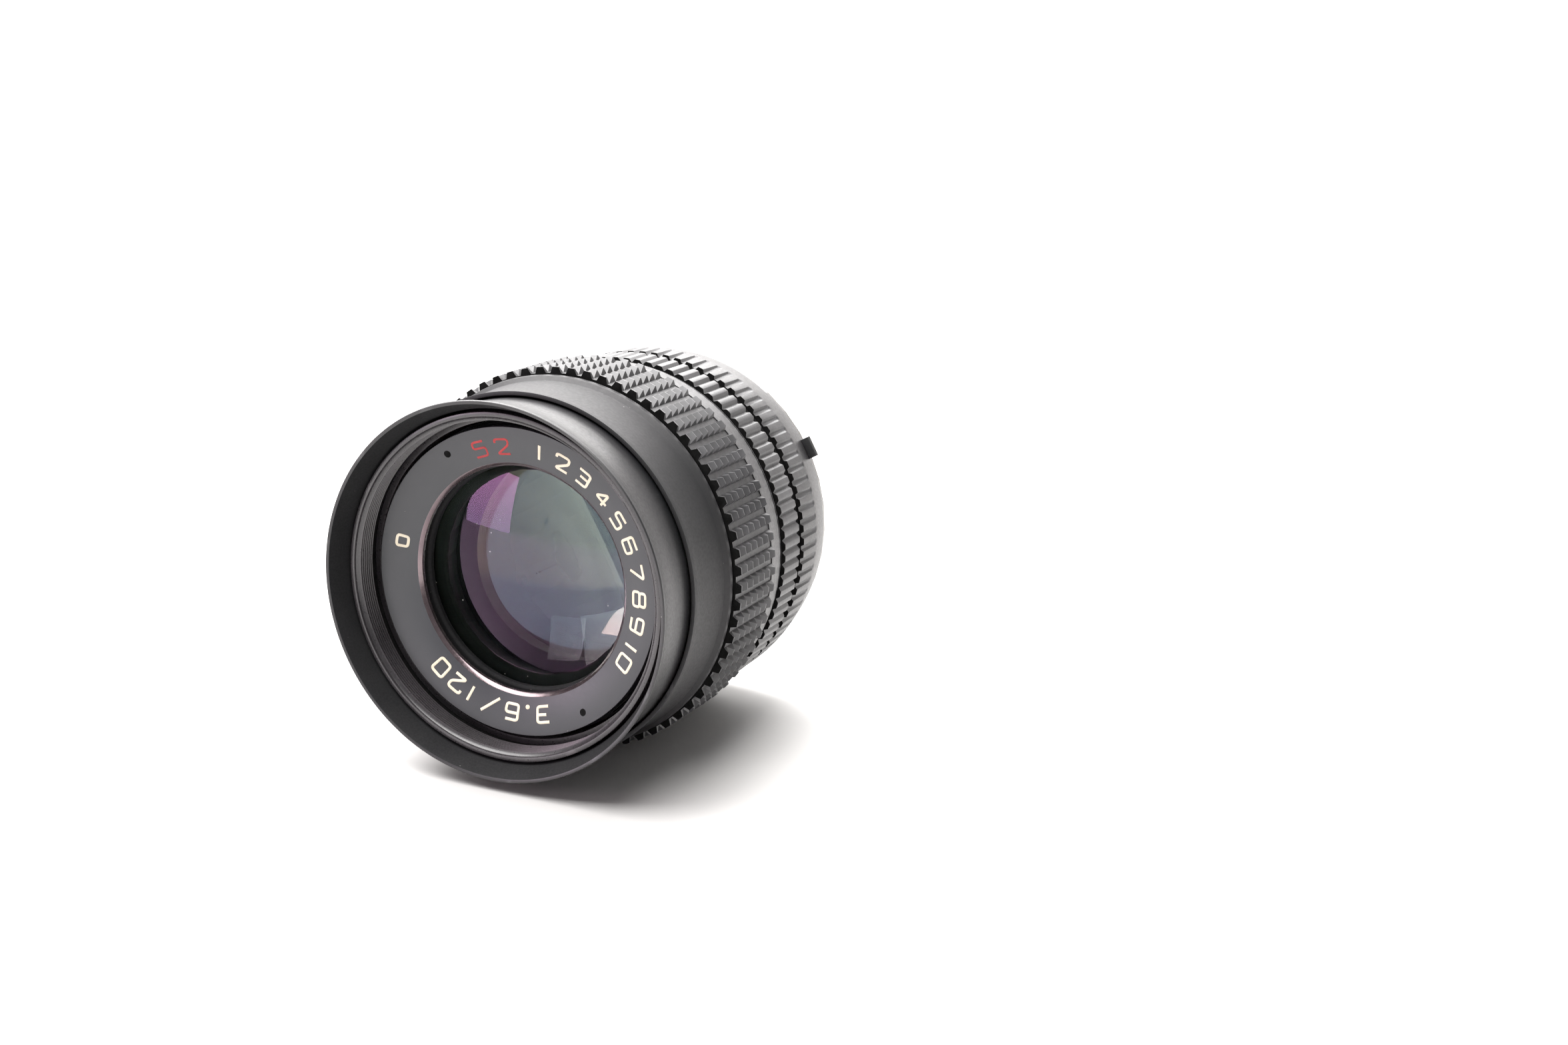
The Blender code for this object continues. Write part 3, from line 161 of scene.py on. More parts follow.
finishLooks = {
    "satinBlack": {"dark": (0.012, 0.012, 0.013), "light": (0.02, 0.019, 0.021), "patchScale": 60,
                   "roughness": (0.34, 0.46), "grainScale": 2200, "grain": 0.12, "gloss": 0.6,
                   "wear": 0.5, "worn": (0.10, 0.10, 0.105), "dust": (0.05, 0.05)},
    "turnedBlack": {"dark": (0.016, 0.014, 0.016), "light": (0.03, 0.027, 0.03), "patchScale": 90,
                    "roughness": (0.26, 0.36), "grainScale": 2600, "grain": 0.08, "gloss": 0.8,
                    "wear": 0.6, "worn": (0.16, 0.145, 0.155), "dust": (0.05, 0.05),
                    "turning": 900, "turningDepth": 0.15},
    "matteBlack": {"dark": (0.006, 0.006, 0.007), "light": (0.011, 0.011, 0.012), "patchScale": 120,
                   "roughness": (0.7, 0.85), "grainScale": 3200, "grain": 0.35, "gloss": 0.3,
                   "dust": (0.07, 0.09)},
    "gripBlack": {"dark": (0.028, 0.0275, 0.029), "light": (0.046, 0.045, 0.048), "patchScale": 150,
                  "roughness": (0.36, 0.5), "grainScale": 2400, "grain": 0.2, "gloss": 0.6,
                  "wear": 0.7, "worn": (0.12, 0.12, 0.125), "dust": (0.05, 0.06)},
    "nameBlack": {"dark": (0.034, 0.036, 0.041), "light": (0.044, 0.046, 0.052), "patchScale": 70,
                  "roughness": (0.36, 0.44), "grainScale": 3000, "grain": 0.06, "gloss": 0.55,
                  "wear": 0.3, "worn": (0.12, 0.11, 0.11), "dust": (0.045, 0.05)},
    "threadCrest": {"dark": (0.10, 0.085, 0.092), "light": (0.17, 0.145, 0.155), "patchScale": 200,
                    "roughness": (0.3, 0.42), "grainScale": 2000, "grain": 0.05, "metallic": 0.7},
    "ribBlack": {"dark": (0.022, 0.0215, 0.0225), "light": (0.034, 0.033, 0.035), "patchScale": 90,
                 "roughness": (0.36, 0.46), "grainScale": 2400, "grain": 0.14, "gloss": 0.6,
                 "wear": 0.55, "worn": (0.13, 0.13, 0.135), "dust": (0.05, 0.05)},
    "noseBlack": {"dark": (0.014, 0.014, 0.015), "light": (0.022, 0.021, 0.023), "patchScale": 60,
                  "roughness": (0.52, 0.62), "grainScale": 2200, "grain": 0.12, "gloss": 0.4,
                  "wear": 0.5, "worn": (0.10, 0.10, 0.105), "dust": (0.05, 0.05)},
    "bareEdge": {"dark": (0.16, 0.125, 0.135), "light": (0.24, 0.19, 0.2), "patchScale": 200,
                 "roughness": (0.16, 0.26), "grainScale": 2000, "grain": 0.05, "metallic": 0.9},
    "plasticBlack": {"dark": (0.010, 0.010, 0.011), "light": (0.016, 0.016, 0.017), "patchScale": 160,
                     "roughness": (0.42, 0.55), "grainScale": 1500, "grain": 0.3, "gloss": 0.5,
                     "dust": (0.06, 0.1)},
    # the felt finish is real felt on the hood's friction ring, and painted shade on thread roots, ring ends and
    # spanner holes
    "feltAndShadeBlack": {"dark": (0.004, 0.004, 0.004), "light": (0.010, 0.010, 0.010), "patchScale": 900,
                  "roughness": (0.9, 1.0), "grainScale": 2500, "grain": 0.8, "gloss": 0.1},
    "mountChrome": {"dark": (0.26, 0.255, 0.25), "light": (0.34, 0.335, 0.33), "patchScale": 90,
                    "roughness": (0.26, 0.36), "grainScale": 900, "grain": 0.04, "metallic": 1.0,
                    "turning": 700, "turningDepth": 0.12},
    "brassTube": {"dark": (0.26, 0.185, 0.085), "light": (0.36, 0.265, 0.13), "patchScale": 80,
                  "roughness": (0.24, 0.38), "grainScale": 1200, "grain": 0.06, "metallic": 1.0,
                  "turning": 1400, "turningDepth": 0.35},
    "screwSteel": {"dark": (0.24, 0.24, 0.25), "light": (0.36, 0.36, 0.37), "patchScale": 400,
                   "roughness": (0.25, 0.4), "grainScale": 2600, "grain": 0.06, "metallic": 1.0},
    "bladeSteel": {"dark": (0.03, 0.032, 0.04), "light": (0.05, 0.052, 0.062), "patchScale": 120,
                   "roughness": (0.38, 0.5), "grainScale": 1800, "grain": 0.08, "metallic": 0.8},
    "creamPaint": {"dark": (0.74, 0.66, 0.50), "light": (0.84, 0.77, 0.62), "patchScale": 500,
                   "roughness": (0.45, 0.6), "grainScale": 3000, "grain": 0.2},
    "redPaint": {"dark": (0.34, 0.012, 0.014), "light": (0.46, 0.022, 0.024), "patchScale": 500,
                 "roughness": (0.4, 0.55), "grainScale": 3000, "grain": 0.2},
}
finishes = {name: coatedMetal(name, look) for name, look in finishLooks.items()}


glassDust = {"scale": 700, "size": 0.07, "share": 0.35, "colour": (0.7, 0.68, 0.66), "hides": 0.25,
             "crowdScale": 1500, "crowdSize": 0.06, "crowdShare": 0.25, "crowdPatches": 120}


def coatedGlass(name, tint, body, dusty):
    finish, tree, shader, places = newFinish(name)
    shader.inputs["Roughness"].default_value = 0.01
    shader.inputs["IOR"].default_value = 1.6
    shader.inputs["Specular Tint"].default_value = (*tint, 1)
    shader.inputs["Base Color"].default_value = (*body, 1)
    shader.inputs["Transmission Weight"].default_value = 1.0
    if dusty:
        own = glassDust
        wide = specks(tree, places, own["scale"], own["size"], own["share"])
        dots = blendColours(tree, wide, (0, 0, 0), (1, 1, 1))
        fine = specks(tree, places, own["crowdScale"], own["crowdSize"], own["crowdShare"])
        crowd = multiply(tree, fine, spread(tree, noiseOf(tree, places, own["crowdPatches"]), 0, 1, 0.5, 0.6))
        dots = blendColours(tree, crowd, dots, (1, 1, 1))
        tree.links.new(blendColours(tree, dots, body, own["colour"]), shader.inputs["Base Color"])
        tree.links.new(spread(tree, dots, 1.0, own["hides"], 0.0, 1.0), shader.inputs["Transmission Weight"])
    return finish


# The tint colours what the surface reflects, and the body colours what passes through it

glassLooks = {
    "frontCoating": {"tint": (0.32, 0.14, 0.34), "body": (0.86, 0.97, 0.92), "dusty": True},
    "rearCoating": {"tint": (0.02, 0.035, 0.03), "body": (0.93, 0.97, 0.94), "dusty": False},
    "blueCoating": {"tint": (0.46, 0.56, 0.92), "body": (0.93, 0.97, 0.94), "dusty": False},
    "greyCoating": {"tint": (0.04, 0.045, 0.045), "body": (0.93, 0.97, 0.94), "dusty": False},
    "amberCoating": {"tint": (0.75, 0.45, 0.36), "body": (0.93, 0.96, 0.92), "dusty": False},
}
for name, look in glassLooks.items():
    finishes[name] = coatedGlass(name, **look)
print("materials made")


# Shapes. Sizes are millimetres; depth grows from the filter ring's mouth to the mount.

def turnOutline(outline, sides=192):
    shape = bmesh.new()  # each corner of the outline is radius, depth and, where it is softened, its rounding
    corners = [shape.verts.new((spot[0] * mm, spot[1] * mm, 0)) for spot in outline]
    for pair in zip(corners, corners[1:] + corners[:1]):
        shape.edges.new(pair)
    sizes = [spot[2] if len(spot) > 2 else 0 for spot in outline]
    for size in sorted({size for size in sizes if size}):
        chosen = [corner for corner, own in zip(corners, sizes) if own == size]
        bmesh.ops.bevel(shape, geom=chosen, offset=size * mm, offset_type="OFFSET", segments=2,
                        profile=0.5, affect="VERTICES", material=-1)
    bmesh.ops.spin(shape, geom=shape.verts[:] + shape.edges[:], cent=(0, 0, 0), axis=(0, 1, 0),
                   angle=math.tau, steps=sides, use_merge=True)
    bmesh.ops.remove_doubles(shape, verts=shape.verts, dist=1e-7)
    bmesh.ops.recalc_face_normals(shape, faces=shape.faces)
    bmesh.ops.translate(shape, verts=shape.verts, vec=axisPoint)
    return shape


def aroundAxis(radius, depth, degrees):
    turn = math.radians(degrees)
    return axisPoint + Vector((radius * math.cos(turn), depth, radius * math.sin(turn))) * mm


def radiusOf(point):
    return math.hypot(point.x, point.z - axisZ) / mm


def depthOf(point):
    return (point.y - mouthY) / mm


def finishPiece(name, shape, looks, body, nodes=(), sharp=32):
    mesh = bpy.data.meshes.new(name)
    shape.to_mesh(mesh)
    shape.free()
    mesh.shade_smooth()
    mesh.set_sharp_from_angle(angle=math.radians(sharp))
    piece = bpy.data.objects.new(name, mesh)
    bpy.context.scene.collection.objects.link(piece)
    for look in looks:
        mesh.materials.append(finishes[look])
    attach(piece, body)
    if nodes:
        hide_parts(*nodes)


def cellGrid(columns, rows):
    shape = bmesh.new()  # one flat cell of a ring's pattern: columns run around the ring, rows along it
    across, along = len(columns) - 1, len(rows) - 1
    bmesh.ops.create_grid(shape, x_segments=across, y_segments=along, size=1)
    for corner in shape.verts:
        column = round((corner.co.x + 1) / 2 * across)
        row = round((corner.co.y + 1) / 2 * along)
        corner.co = Vector((columns[column], rows[row], 0)) * mm
    return shape


def wrapCells(shape, radius, count, rise=None):
    for corner in shape.verts:  # the flat cell is bent round the axis, then repeated all the way round
        across, depth, height = corner.co / mm
        base = rise(depth) if rise else radius
        corner.co = aroundAxis(base + height, depth, math.degrees(across / radius))
    step = math.tau / count
    bmesh.ops.spin(shape, geom=shape.verts[:] + shape.edges[:] + shape.faces[:], cent=axisPoint,
                   axis=(0, 1, 0), angle=step * (count - 1), steps=count - 1, use_duplicate=True)
    bmesh.ops.remove_doubles(shape, verts=shape.verts, dist=3e-6)


def endLoop(shape, atFront):
    edges = [edge for edge in shape.edges if edge.is_boundary]
    middle = sum(edge.verts[0].co.y for edge in edges) / len(edges)
    return [edge for edge in edges if (edge.verts[0].co.y < middle) == atFront]


def drawIn(shape, edges, radius, depth=None):
    grown = bmesh.ops.extrude_edge_only(shape, edges=edges)["geom"]
    for corner in (item for item in grown if isinstance(item, bmesh.types.BMVert)):
        turn = math.degrees(math.atan2(corner.co.z - axisZ, corner.co.x))
        corner.co = aroundAxis(radius, depthOf(corner.co) if depth is None else depth, turn)
    return [item for item in grown if isinstance(item, bmesh.types.BMEdge) and item.is_boundary]


def closeSleeve(shape, frontSteps, rearSteps):
    # each step is a radius and a depth, and a depth of None keeps the one that the edge has
    front, rear = endLoop(shape, True), endLoop(shape, False)
    for radius, depth in frontSteps:
        front = drawIn(shape, front, radius, depth)
    for radius, depth in rearSteps:
        rear = drawIn(shape, rear, radius, depth)
    bmesh.ops.bridge_loops(shape, edges=front + rear)
    bmesh.ops.recalc_face_normals(shape, faces=shape.faces)


def softenEdges(shape, size, sharper=25):
    least = math.radians(sharper)
    edges = [edge for edge in shape.edges if edge.is_manifold and edge.calc_face_angle(0) > least]
    bmesh.ops.bevel(shape, geom=edges, offset=size * mm, offset_type="OFFSET", segments=1, profile=0.5,
                    affect="EDGES", material=-1, clamp_overlap=True)


def paintEndShade(shape, within, before=math.inf):
    for face in shape.faces:  # painted shade: front ends and everything deeper than this radius take the near-black second finish, which darkens the grooves between the rings
        place = face.calc_center_median()
        sunk = radiusOf(place) < within and depthOf(place) < before
        face.material_index = int(face.normal.y < -0.6 or sunk)


# Hood, filter ring and name ring

hood = {"lipRadius": 29.31, "lipDepth": -3.36, "rimWidth": 0.62, "waistRadius": 27.9, "waistDepth": 4.4,
        "boreRadius": 27.4, "coneEnd": 0.6, "back": 15.55, "flare": 1.75,
        "flareSteps": (0.16, 0.3, 0.46, 0.66, 0.84)}


def makeHood():
    lip, waist, front = hood["lipRadius"], hood["waistRadius"], hood["lipDepth"]
    outline = [(lip - 0.14, front, 0.04), (lip, front + 0.24, 0.06)]
    for share in hood["flareSteps"]:
        outline.append((waist + (lip - waist) * (1 - share) ** hood["flare"],
                        front + share * (hood["waistDepth"] - front)))
    outline += [(waist, hood["waistDepth"]), (waist, hood["back"], 0.08),
                (hood["boreRadius"], hood["back"], 0.08), (hood["boreRadius"], hood["coneEnd"], 0.2),
                (lip - hood["rimWidth"], front + 0.1, 0.06)]
    shape = turnOutline(outline, 256)
    for face in shape.faces:
        place = face.calc_center_median()
        inside = face.normal.dot(Vector((place.x, 0, place.z - axisZ)).normalized()) < -0.2
        face.material_index = int(inside and radiusOf(place) < lip - hood["rimWidth"] + 0.02)
    finishPiece("lensHood", shape, ["satinBlack", "matteBlack"], "hood", ["lens_hood"])


filterRing = {"radius": 27.0, "mouth": 26.3, "crest": 25.62, "threadPitch": 0.5, "threadDepth": 0.3,
              "threads": 7, "firstThread": 0.62, "length": 15.5, "bore": 24.95, "seat": 5.2,
              "feltFloor": 26.2, "feltFront": 11.85, "feltBack": 13.75}


def makeFilterRing():
    ring = filterRing
    root = ring["crest"] + ring["threadDepth"]
    outline = [(ring["radius"], 0.0, 0.12), (ring["radius"], ring["feltFront"]),
               (ring["feltFloor"], ring["feltFront"]), (ring["feltFloor"], ring["feltBack"]),
               (ring["radius"], ring["feltBack"]), (ring["radius"], ring["length"]),
               (ring["bore"], ring["length"]), (ring["bore"], ring["seat"]), (root, ring["seat"])]
    for turn in range(ring["threads"] - 1, -1, -1):
        start, pitch = ring["firstThread"] + turn * ring["threadPitch"], ring["threadPitch"]
        outline += [(root, start + pitch * 0.92), (ring["crest"], start + pitch * 0.62),
                    (ring["crest"], start + pitch * 0.36), (root, start + pitch * 0.06)]
    outline += [(ring["mouth"] - 0.08, 0.34, 0.05), (ring["mouth"], 0.0, 0.06)]
    shape = turnOutline(outline, 256)
    for face in shape.faces:
        place = face.calc_center_median()
        threaded = radiusOf(place) < root + 0.01 and depthOf(place) < ring["seat"] - 0.5
        crest, shadedRoot = radiusOf(place) < ring["crest"] + 0.01, radiusOf(place) > root - 0.01
        # the thread roots take the near-black felt finish: painted shade in the grooves between the threads
        face.material_index = (1 if crest else 2 if shadedRoot else 0) if threaded else 0
    finishPiece("filterRing", shape, ["turnedBlack", "threadCrest", "feltAndShadeBlack"], "optic_block",
                ["filter_ring"])


nameRing = {"radius": 24.1, "front": 3.91, "edge": 18.35, "edgeDepth": 5.5, "bore": 17.8, "back": 6.6,
            "holeAngles": (123.5, -57.5), "holeRadius": 0.55, "holePlace": 22.1}


def nameSurface(radius):
    share = (nameRing["radius"] - radius) / (nameRing["radius"] - nameRing["edge"])
    return nameRing["front"] + share * (nameRing["edgeDepth"] - nameRing["front"])


def makeNameRing():
    ring = nameRing
    outline = [(ring["radius"], ring["front"], 0.14), (ring["radius"], ring["back"]),
               (ring["bore"], ring["back"]), (ring["bore"], ring["edgeDepth"] + 0.5, 0.06),
               (ring["edge"], ring["edgeDepth"], 0.05)]
    shape = turnOutline(outline, 256)
    for face in shape.faces:
        place = face.calc_center_median()
        bare = radiusOf(place) < ring["edge"] + 0.02 and depthOf(place) < ring["back"] - 0.05
        face.material_index = int(bare)
    finishPiece("nameRing", shape, ["nameBlack", "bareEdge"], "optic_block", ["name_ring"])
    # each spanner hole is a thin near-black disc set into the ring's face: painted shade standing in for the
    # dark inside of a hole
    holeShade = bmesh.new()
    for degrees in ring["holeAngles"]:
        rim = bmesh.ops.create_circle(holeShade, cap_ends=True, radius=ring["holeRadius"] * mm, segments=32)
        for corner in rim["verts"]:
            across, up = corner.co.x / mm, corner.co.y / mm
            radius = ring["holePlace"] + up
            corner.co = aroundAxis(radius, nameSurface(radius) - 0.02, degrees - math.degrees(across / radius))
    raised = bmesh.ops.extrude_face_region(holeShade, geom=holeShade.faces[:])["geom"]
    bmesh.ops.translate(holeShade, verts=[item for item in raised if isinstance(item, bmesh.types.BMVert)],
                        vec=(0, 0.1 * mm, 0))
    bmesh.ops.recalc_face_normals(holeShade, faces=holeShade.faces)
    finishPiece("spannerHoleShade", holeShade, ["feltAndShadeBlack"], "optic_block")


# Engraved numbers. A stroke is its points, in units of the figure's height, and whether it is a closed loop

strokes = {
    "0": [([(0, 0), (0.66, 0), (0.66, 1), (0, 1)], True)],
    "1": [([(0.2, 0), (0.2, 1)], False)],
    "2": [([(0, 0.76), (0, 1), (0.66, 1), (0.66, 0.6), (0, 0), (0.7, 0)], False)],
    "3": [([(0, 1), (0.62, 1), (0.62, 0), (0, 0)], False), ([(0.14, 0.52), (0.62, 0.52)], False)],
    "4": [([(0.5, 0), (0.5, 1), (0, 0.3), (0.7, 0.3)], False)],
    "5": [([(0.62, 1), (0.04, 1), (0.02, 0.56), (0.66, 0.56), (0.66, 0), (0, 0)], False)],
    "6": [([(0.6, 1), (0, 1), (0, 0), (0.66, 0), (0.66, 0.56), (0, 0.56)], False)],
    "7": [([(0, 1), (0.66, 1), (0.2, 0)], False)],
    "8": [([(0, 0), (0.7, 0), (0.7, 0.52), (0, 0.52)], True),
          ([(0.05, 0.52), (0.65, 0.52), (0.65, 1), (0.05, 1)], True)],
    "9": [([(0.06, 0), (0.66, 0), (0.66, 1), (0, 1), (0, 0.44), (0.66, 0.44)], False)],
    ".": [([(-0.05, 0.0), (0.05, 0.0), (0.05, 0.1), (-0.05, 0.1)], True)],
    "/": [([(0, -0.08), (0.75, 1.08)], False)],
    "o": [([(0, 0.12), (0.5, 0.12), (0.5, 0.88), (0, 0.88)], True)],
}


def softPath(points, closed, reach=0.16):
    path = []  # the corners of a stroke become small arcs
    count = len(points)
    for index, point in enumerate(points):
        here = Vector(point)
        if not closed and index in (0, count - 1):
            path.append(here)
            continue
        before, after = Vector(points[index - 1]), Vector(points[(index + 1) % count])
        start = here + (before - here).normalized() * min(reach, (before - here).length * 0.45)
        end = here + (after - here).normalized() * min(reach, (after - here).length * 0.45)
        for share in (0, 0.25, 0.5, 0.75, 1):
            path.append(start.lerp(here, share).lerp(here.lerp(end, share), share))
    return path


def drawFigures(figures, place, width, press=0.25):
    curve = bpy.data.curves.new("strokes", "CURVE")
    curve.dimensions = "3D"
    curve.bevel_depth = width / 2 * mm
    curve.bevel_resolution = 2
    curve.use_fill_caps = True
    for figure, height, wide, spot in figures:
        for points, closed in strokes[figure]:
            path = softPath(points, closed)
            line = curve.splines.new("POLY")
            line.points.add(len(path) - 1)
            line.use_cyclic_u = closed
            for point, step in zip(line.points, path):
                point.co = ((spot[0] + step.x * height * wide) * mm, (spot[1] + step.y * height) * mm, 0, 1)
    holder = bpy.data.objects.new("strokes", curve)
    bpy.context.scene.collection.objects.link(holder)
    mesh = bpy.data.meshes.new_from_object(holder.evaluated_get(bpy.context.evaluated_depsgraph_get()))
    shape = bmesh.new()
    shape.from_mesh(mesh)
    bpy.data.objects.remove(holder)
    bpy.data.curves.remove(curve)
    bpy.data.meshes.remove(mesh)
    for corner in shape.verts:
        across, up, out = corner.co / mm
        corner.co = place(across, up, out * press)
    bmesh.ops.recalc_face_normals(shape, faces=shape.faces)
    return shape


# Each figure stands at its own angle around the ring, counted from the right
nameText = {"middle": 20.9, "base": 19.75, "height": 2.35, "wide": 1.4, "creamStroke": 0.44, "redStroke": 0.34,
            "halfWidth": {"1": 0.2, ".": 0.0, "/": 0.37, "o": 0.3},
            "cream": (("1", 80.0), ("2", 68.8), ("3", 57.6), ("4", 46.4), ("5", 35.2), ("6", 24.0), ("7", 12.8),
                      ("8", 1.6), ("9", -9.6), ("1", -19.8), ("0", -27.6),
                      ("3", -77.0), (".", -84.7), ("6", -92.2), ("/", -102.6), ("1", -113.2), ("2", -120.6),
                      ("0", -130.5), ("o", 169.8)),
            "red": (("5", 108.6), ("2", 97.6))}


def onNameRing(across, up, out):
    radius = nameText["base"] + up
    return aroundAxis(radius, nameSurface(radius) - out - 0.005, -math.degrees(across / nameText["middle"]))


def figureRow(row):
    height, wide = nameText["height"], nameText["wide"]
    placed = []
    for figure, degrees in row:
        halfWidth = nameText["halfWidth"].get(figure, 0.33)
        start = -math.radians(degrees) * nameText["middle"] - halfWidth * height * wide
        placed.append((figure, height, wide, (start, 0.0)))
    return placed


def makeNameText():
    for colour in ("cream", "red"):
        shape = drawFigures(figureRow(nameText[colour]), onNameRing, nameText[colour + "Stroke"])
        finishPiece(colour + "Figures", shape, [colour + "Paint"], "optic_block")


makeHood()
makeFilterRing()
makeNameRing()
makeNameText()
print("front rings made")


# Glass and the cells behind it

def lensOutline(radius, vertex, thickness, frontCurve, rearCurve, steps=10):
    def sag(curve, reach):
        return math.copysign(abs(curve) - math.sqrt(curve * curve - reach * reach), curve)

    reaches = [0.02 + (radius - 0.02) * step / steps for step in range(steps + 1)]
    outline = [(reach, vertex + sag(frontCurve, reach)) for reach in reaches]
    outline += [(reach, vertex + thickness + sag(rearCurve, reach)) for reach in reversed(reaches)]
    return outline


glasses = {
    "frontGlass": {"node": "glass_front", "radius": 18.65, "thickness": 7.5, "curves": (55.0, -150.0),
                   "coats": ("frontCoating", "rearCoating")},
    "secondGlass": {"node": "glass_second", "radius": 16.55, "thickness": 6.0, "curves": (35.0, 80.0),
                    "coats": ("blueCoating", "greyCoating")},
    "thirdGlass": {"node": "glass_third", "radius": 12.4, "thickness": 1.6, "curves": (-90.0, 32.0),
                   "coats": ("amberCoating", "amberCoating")},
    "rearGlass": {"node": "glass_rear", "radius": 14.95, "thickness": 4.6, "curves": (60.0, -70.0),
                  "coats": ("blueCoating", "amberCoating")},
}


def makeGlasses():
    for name, glass in glasses.items():
        front = depthOf(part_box(glass["node"])[0])
        if glass["curves"][0] < 0:  # a hollow front starts at its rim, so its middle lies deeper
            front += glass["radius"] ** 2 / (-2 * glass["curves"][0])
        outline = lensOutline(glass["radius"], front, glass["thickness"], *glass["curves"])
        shape = turnOutline(outline, 128)
        for face in shape.faces:
            facing = face.normal.y
            face.material_index = 0 if facing < -0.3 else 1 if facing > 0.3 else 2
        finishPiece(name, shape, [*glass["coats"], "matteBlack"], "optic_block", [glass["node"]],
                    sharp=50)


retainer = {"outer": 18.68, "bore": 17.5, "chamfer": 0.4, "chamferDepth": 0.35}


def makeRetainer():
    ring = retainer
    front, back = map(depthOf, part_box("front_retaining_ring"))
    outline = [(ring["outer"], front), (ring["outer"], back), (ring["bore"], back, 0.05),
               (ring["bore"], front + ring["chamferDepth"], 0.08),
               (ring["bore"] + ring["chamfer"], front, 0.08)]
    finishPiece("frontRetainer", turnOutline(outline), ["matteBlack"], "optic_block", ["front_retaining_ring"])


makeGlasses()
makeRetainer()
print("glass made")


# Focusing ring

nose = {"waist": ((28.94, 7.25, 0.07), (28.74, 8.6), (28.64, 10.4), (28.62, 12.4), (28.68, 14.4),
                  (28.84, 16.2)),
        "edge": ((28.98, 16.95, 0.06), (29.66, 17.62, 0.08), (29.72, 18.4, 0.06)),
        "spigot": 28.7, "start": 7.25, "edgeBack": 18.4, "back": 20.6, "bore": 28.25,
        "stopBore": 25.0, "stopFront": 16.0, "stopBack": 17.2}


def makeNose():
    ring = nose
    outline = [*ring["waist"], *ring["edge"], (ring["spigot"], ring["edgeBack"]),
               (ring["spigot"], ring["back"]), (ring["bore"], ring["back"]), (ring["bore"], ring["stopBack"]),
               (ring["stopBore"], ring["stopBack"]), (ring["stopBore"], ring["stopFront"]),
               (ring["bore"], ring["stopFront"]), (ring["bore"], ring["start"], 0.1)]
    shape = turnOutline(outline, 256)
    for face in shape.faces:
        place = face.calc_center_median()
        hidden = radiusOf(place) < ring["bore"] + 0.15 or depthOf(place) > ring["edgeBack"] - 0.02
        face.material_index = int(hidden)
    finishPiece("noseRing", shape, ["noseBlack", "matteBlack"], "focus_ring", ["nose_ring"])


grip = {"rows": 69, "base": 29.86, "tall": 0.98, "toothPitch": 2.03, "toothBase": 0.94, "toothSlope": 0.6,
        "toothTip": 0.16, "lean": 0.42, "front": 19.2, "knurlBack": 32.1, "groove": 29.3,
        "frontSteps": ((29.3, 18.9), (28.95, 18.9), (28.95, 20.8), (27.95, 20.8)),
        "scaleBand": ((29.98, 32.1), (29.98, 32.35), (29.86, 32.5), (29.16, 37.0)),
        "lastGroove": ((28.9, 37.06), (28.9, 37.26), (29.08, 37.36), (28.94, 37.8), (27.95, 37.8))}


def makeGrip():
    pitch = math.tau * grip["base"] / grip["rows"]
    depths = [grip["knurlBack"] - grip["toothPitch"] * step for step in range(8)][::-1]
    shape = cellGrid([-pitch / 2, -grip["toothBase"], grip["toothBase"], pitch / 2], depths)
    teeth = [face for face in shape.faces if abs(face.calc_center_median().x) < 0.1 * mm]
    bmesh.ops.inset_individual(shape, faces=teeth, thickness=grip["toothSlope"] * mm, depth=0.0)
    for tooth in teeth:
        middle = tooth.calc_center_median()
        for corner in tooth.verts:
            corner.co.y = middle.y + grip["lean"] * mm + (corner.co.y - middle.y) * grip["toothTip"]
            corner.co.z = grip["tall"] * mm
    bmesh.ops.bisect_plane(shape, geom=shape.verts[:] + shape.edges[:] + shape.faces[:],
                           plane_co=(0, grip["front"] * mm, 0), plane_no=(0, -1, 0), clear_outer=True)
    wrapCells(shape, grip["base"], grip["rows"])
    closeSleeve(shape, [(grip["groove"], None), *grip["frontSteps"]], [*grip["scaleBand"], *grip["lastGroove"]])
    paintEndShade(shape, grip["groove"] + 0.05, grip["front"] + 0.05)
    finishPiece("focusGrip", shape, ["gripBlack", "feltAndShadeBlack"], "focus_ring", ["focus_grip"],
                sharp=28)


makeNose()
makeGrip()
print("focusing ring made")


# Fixed barrel, fixed ribbed ring and aperture ring

fixedBarrel = {"front": 18.6, "back": 56.9, "land": 26.6, "bore": 25.02, "threads": 10, "pitch": 1.6,
               "groove": 0.34, "firstThread": 20.2, "slotFrom": 137, "slotTo": 191,
               "slotFront": 50.43, "slotBack": 52.43}


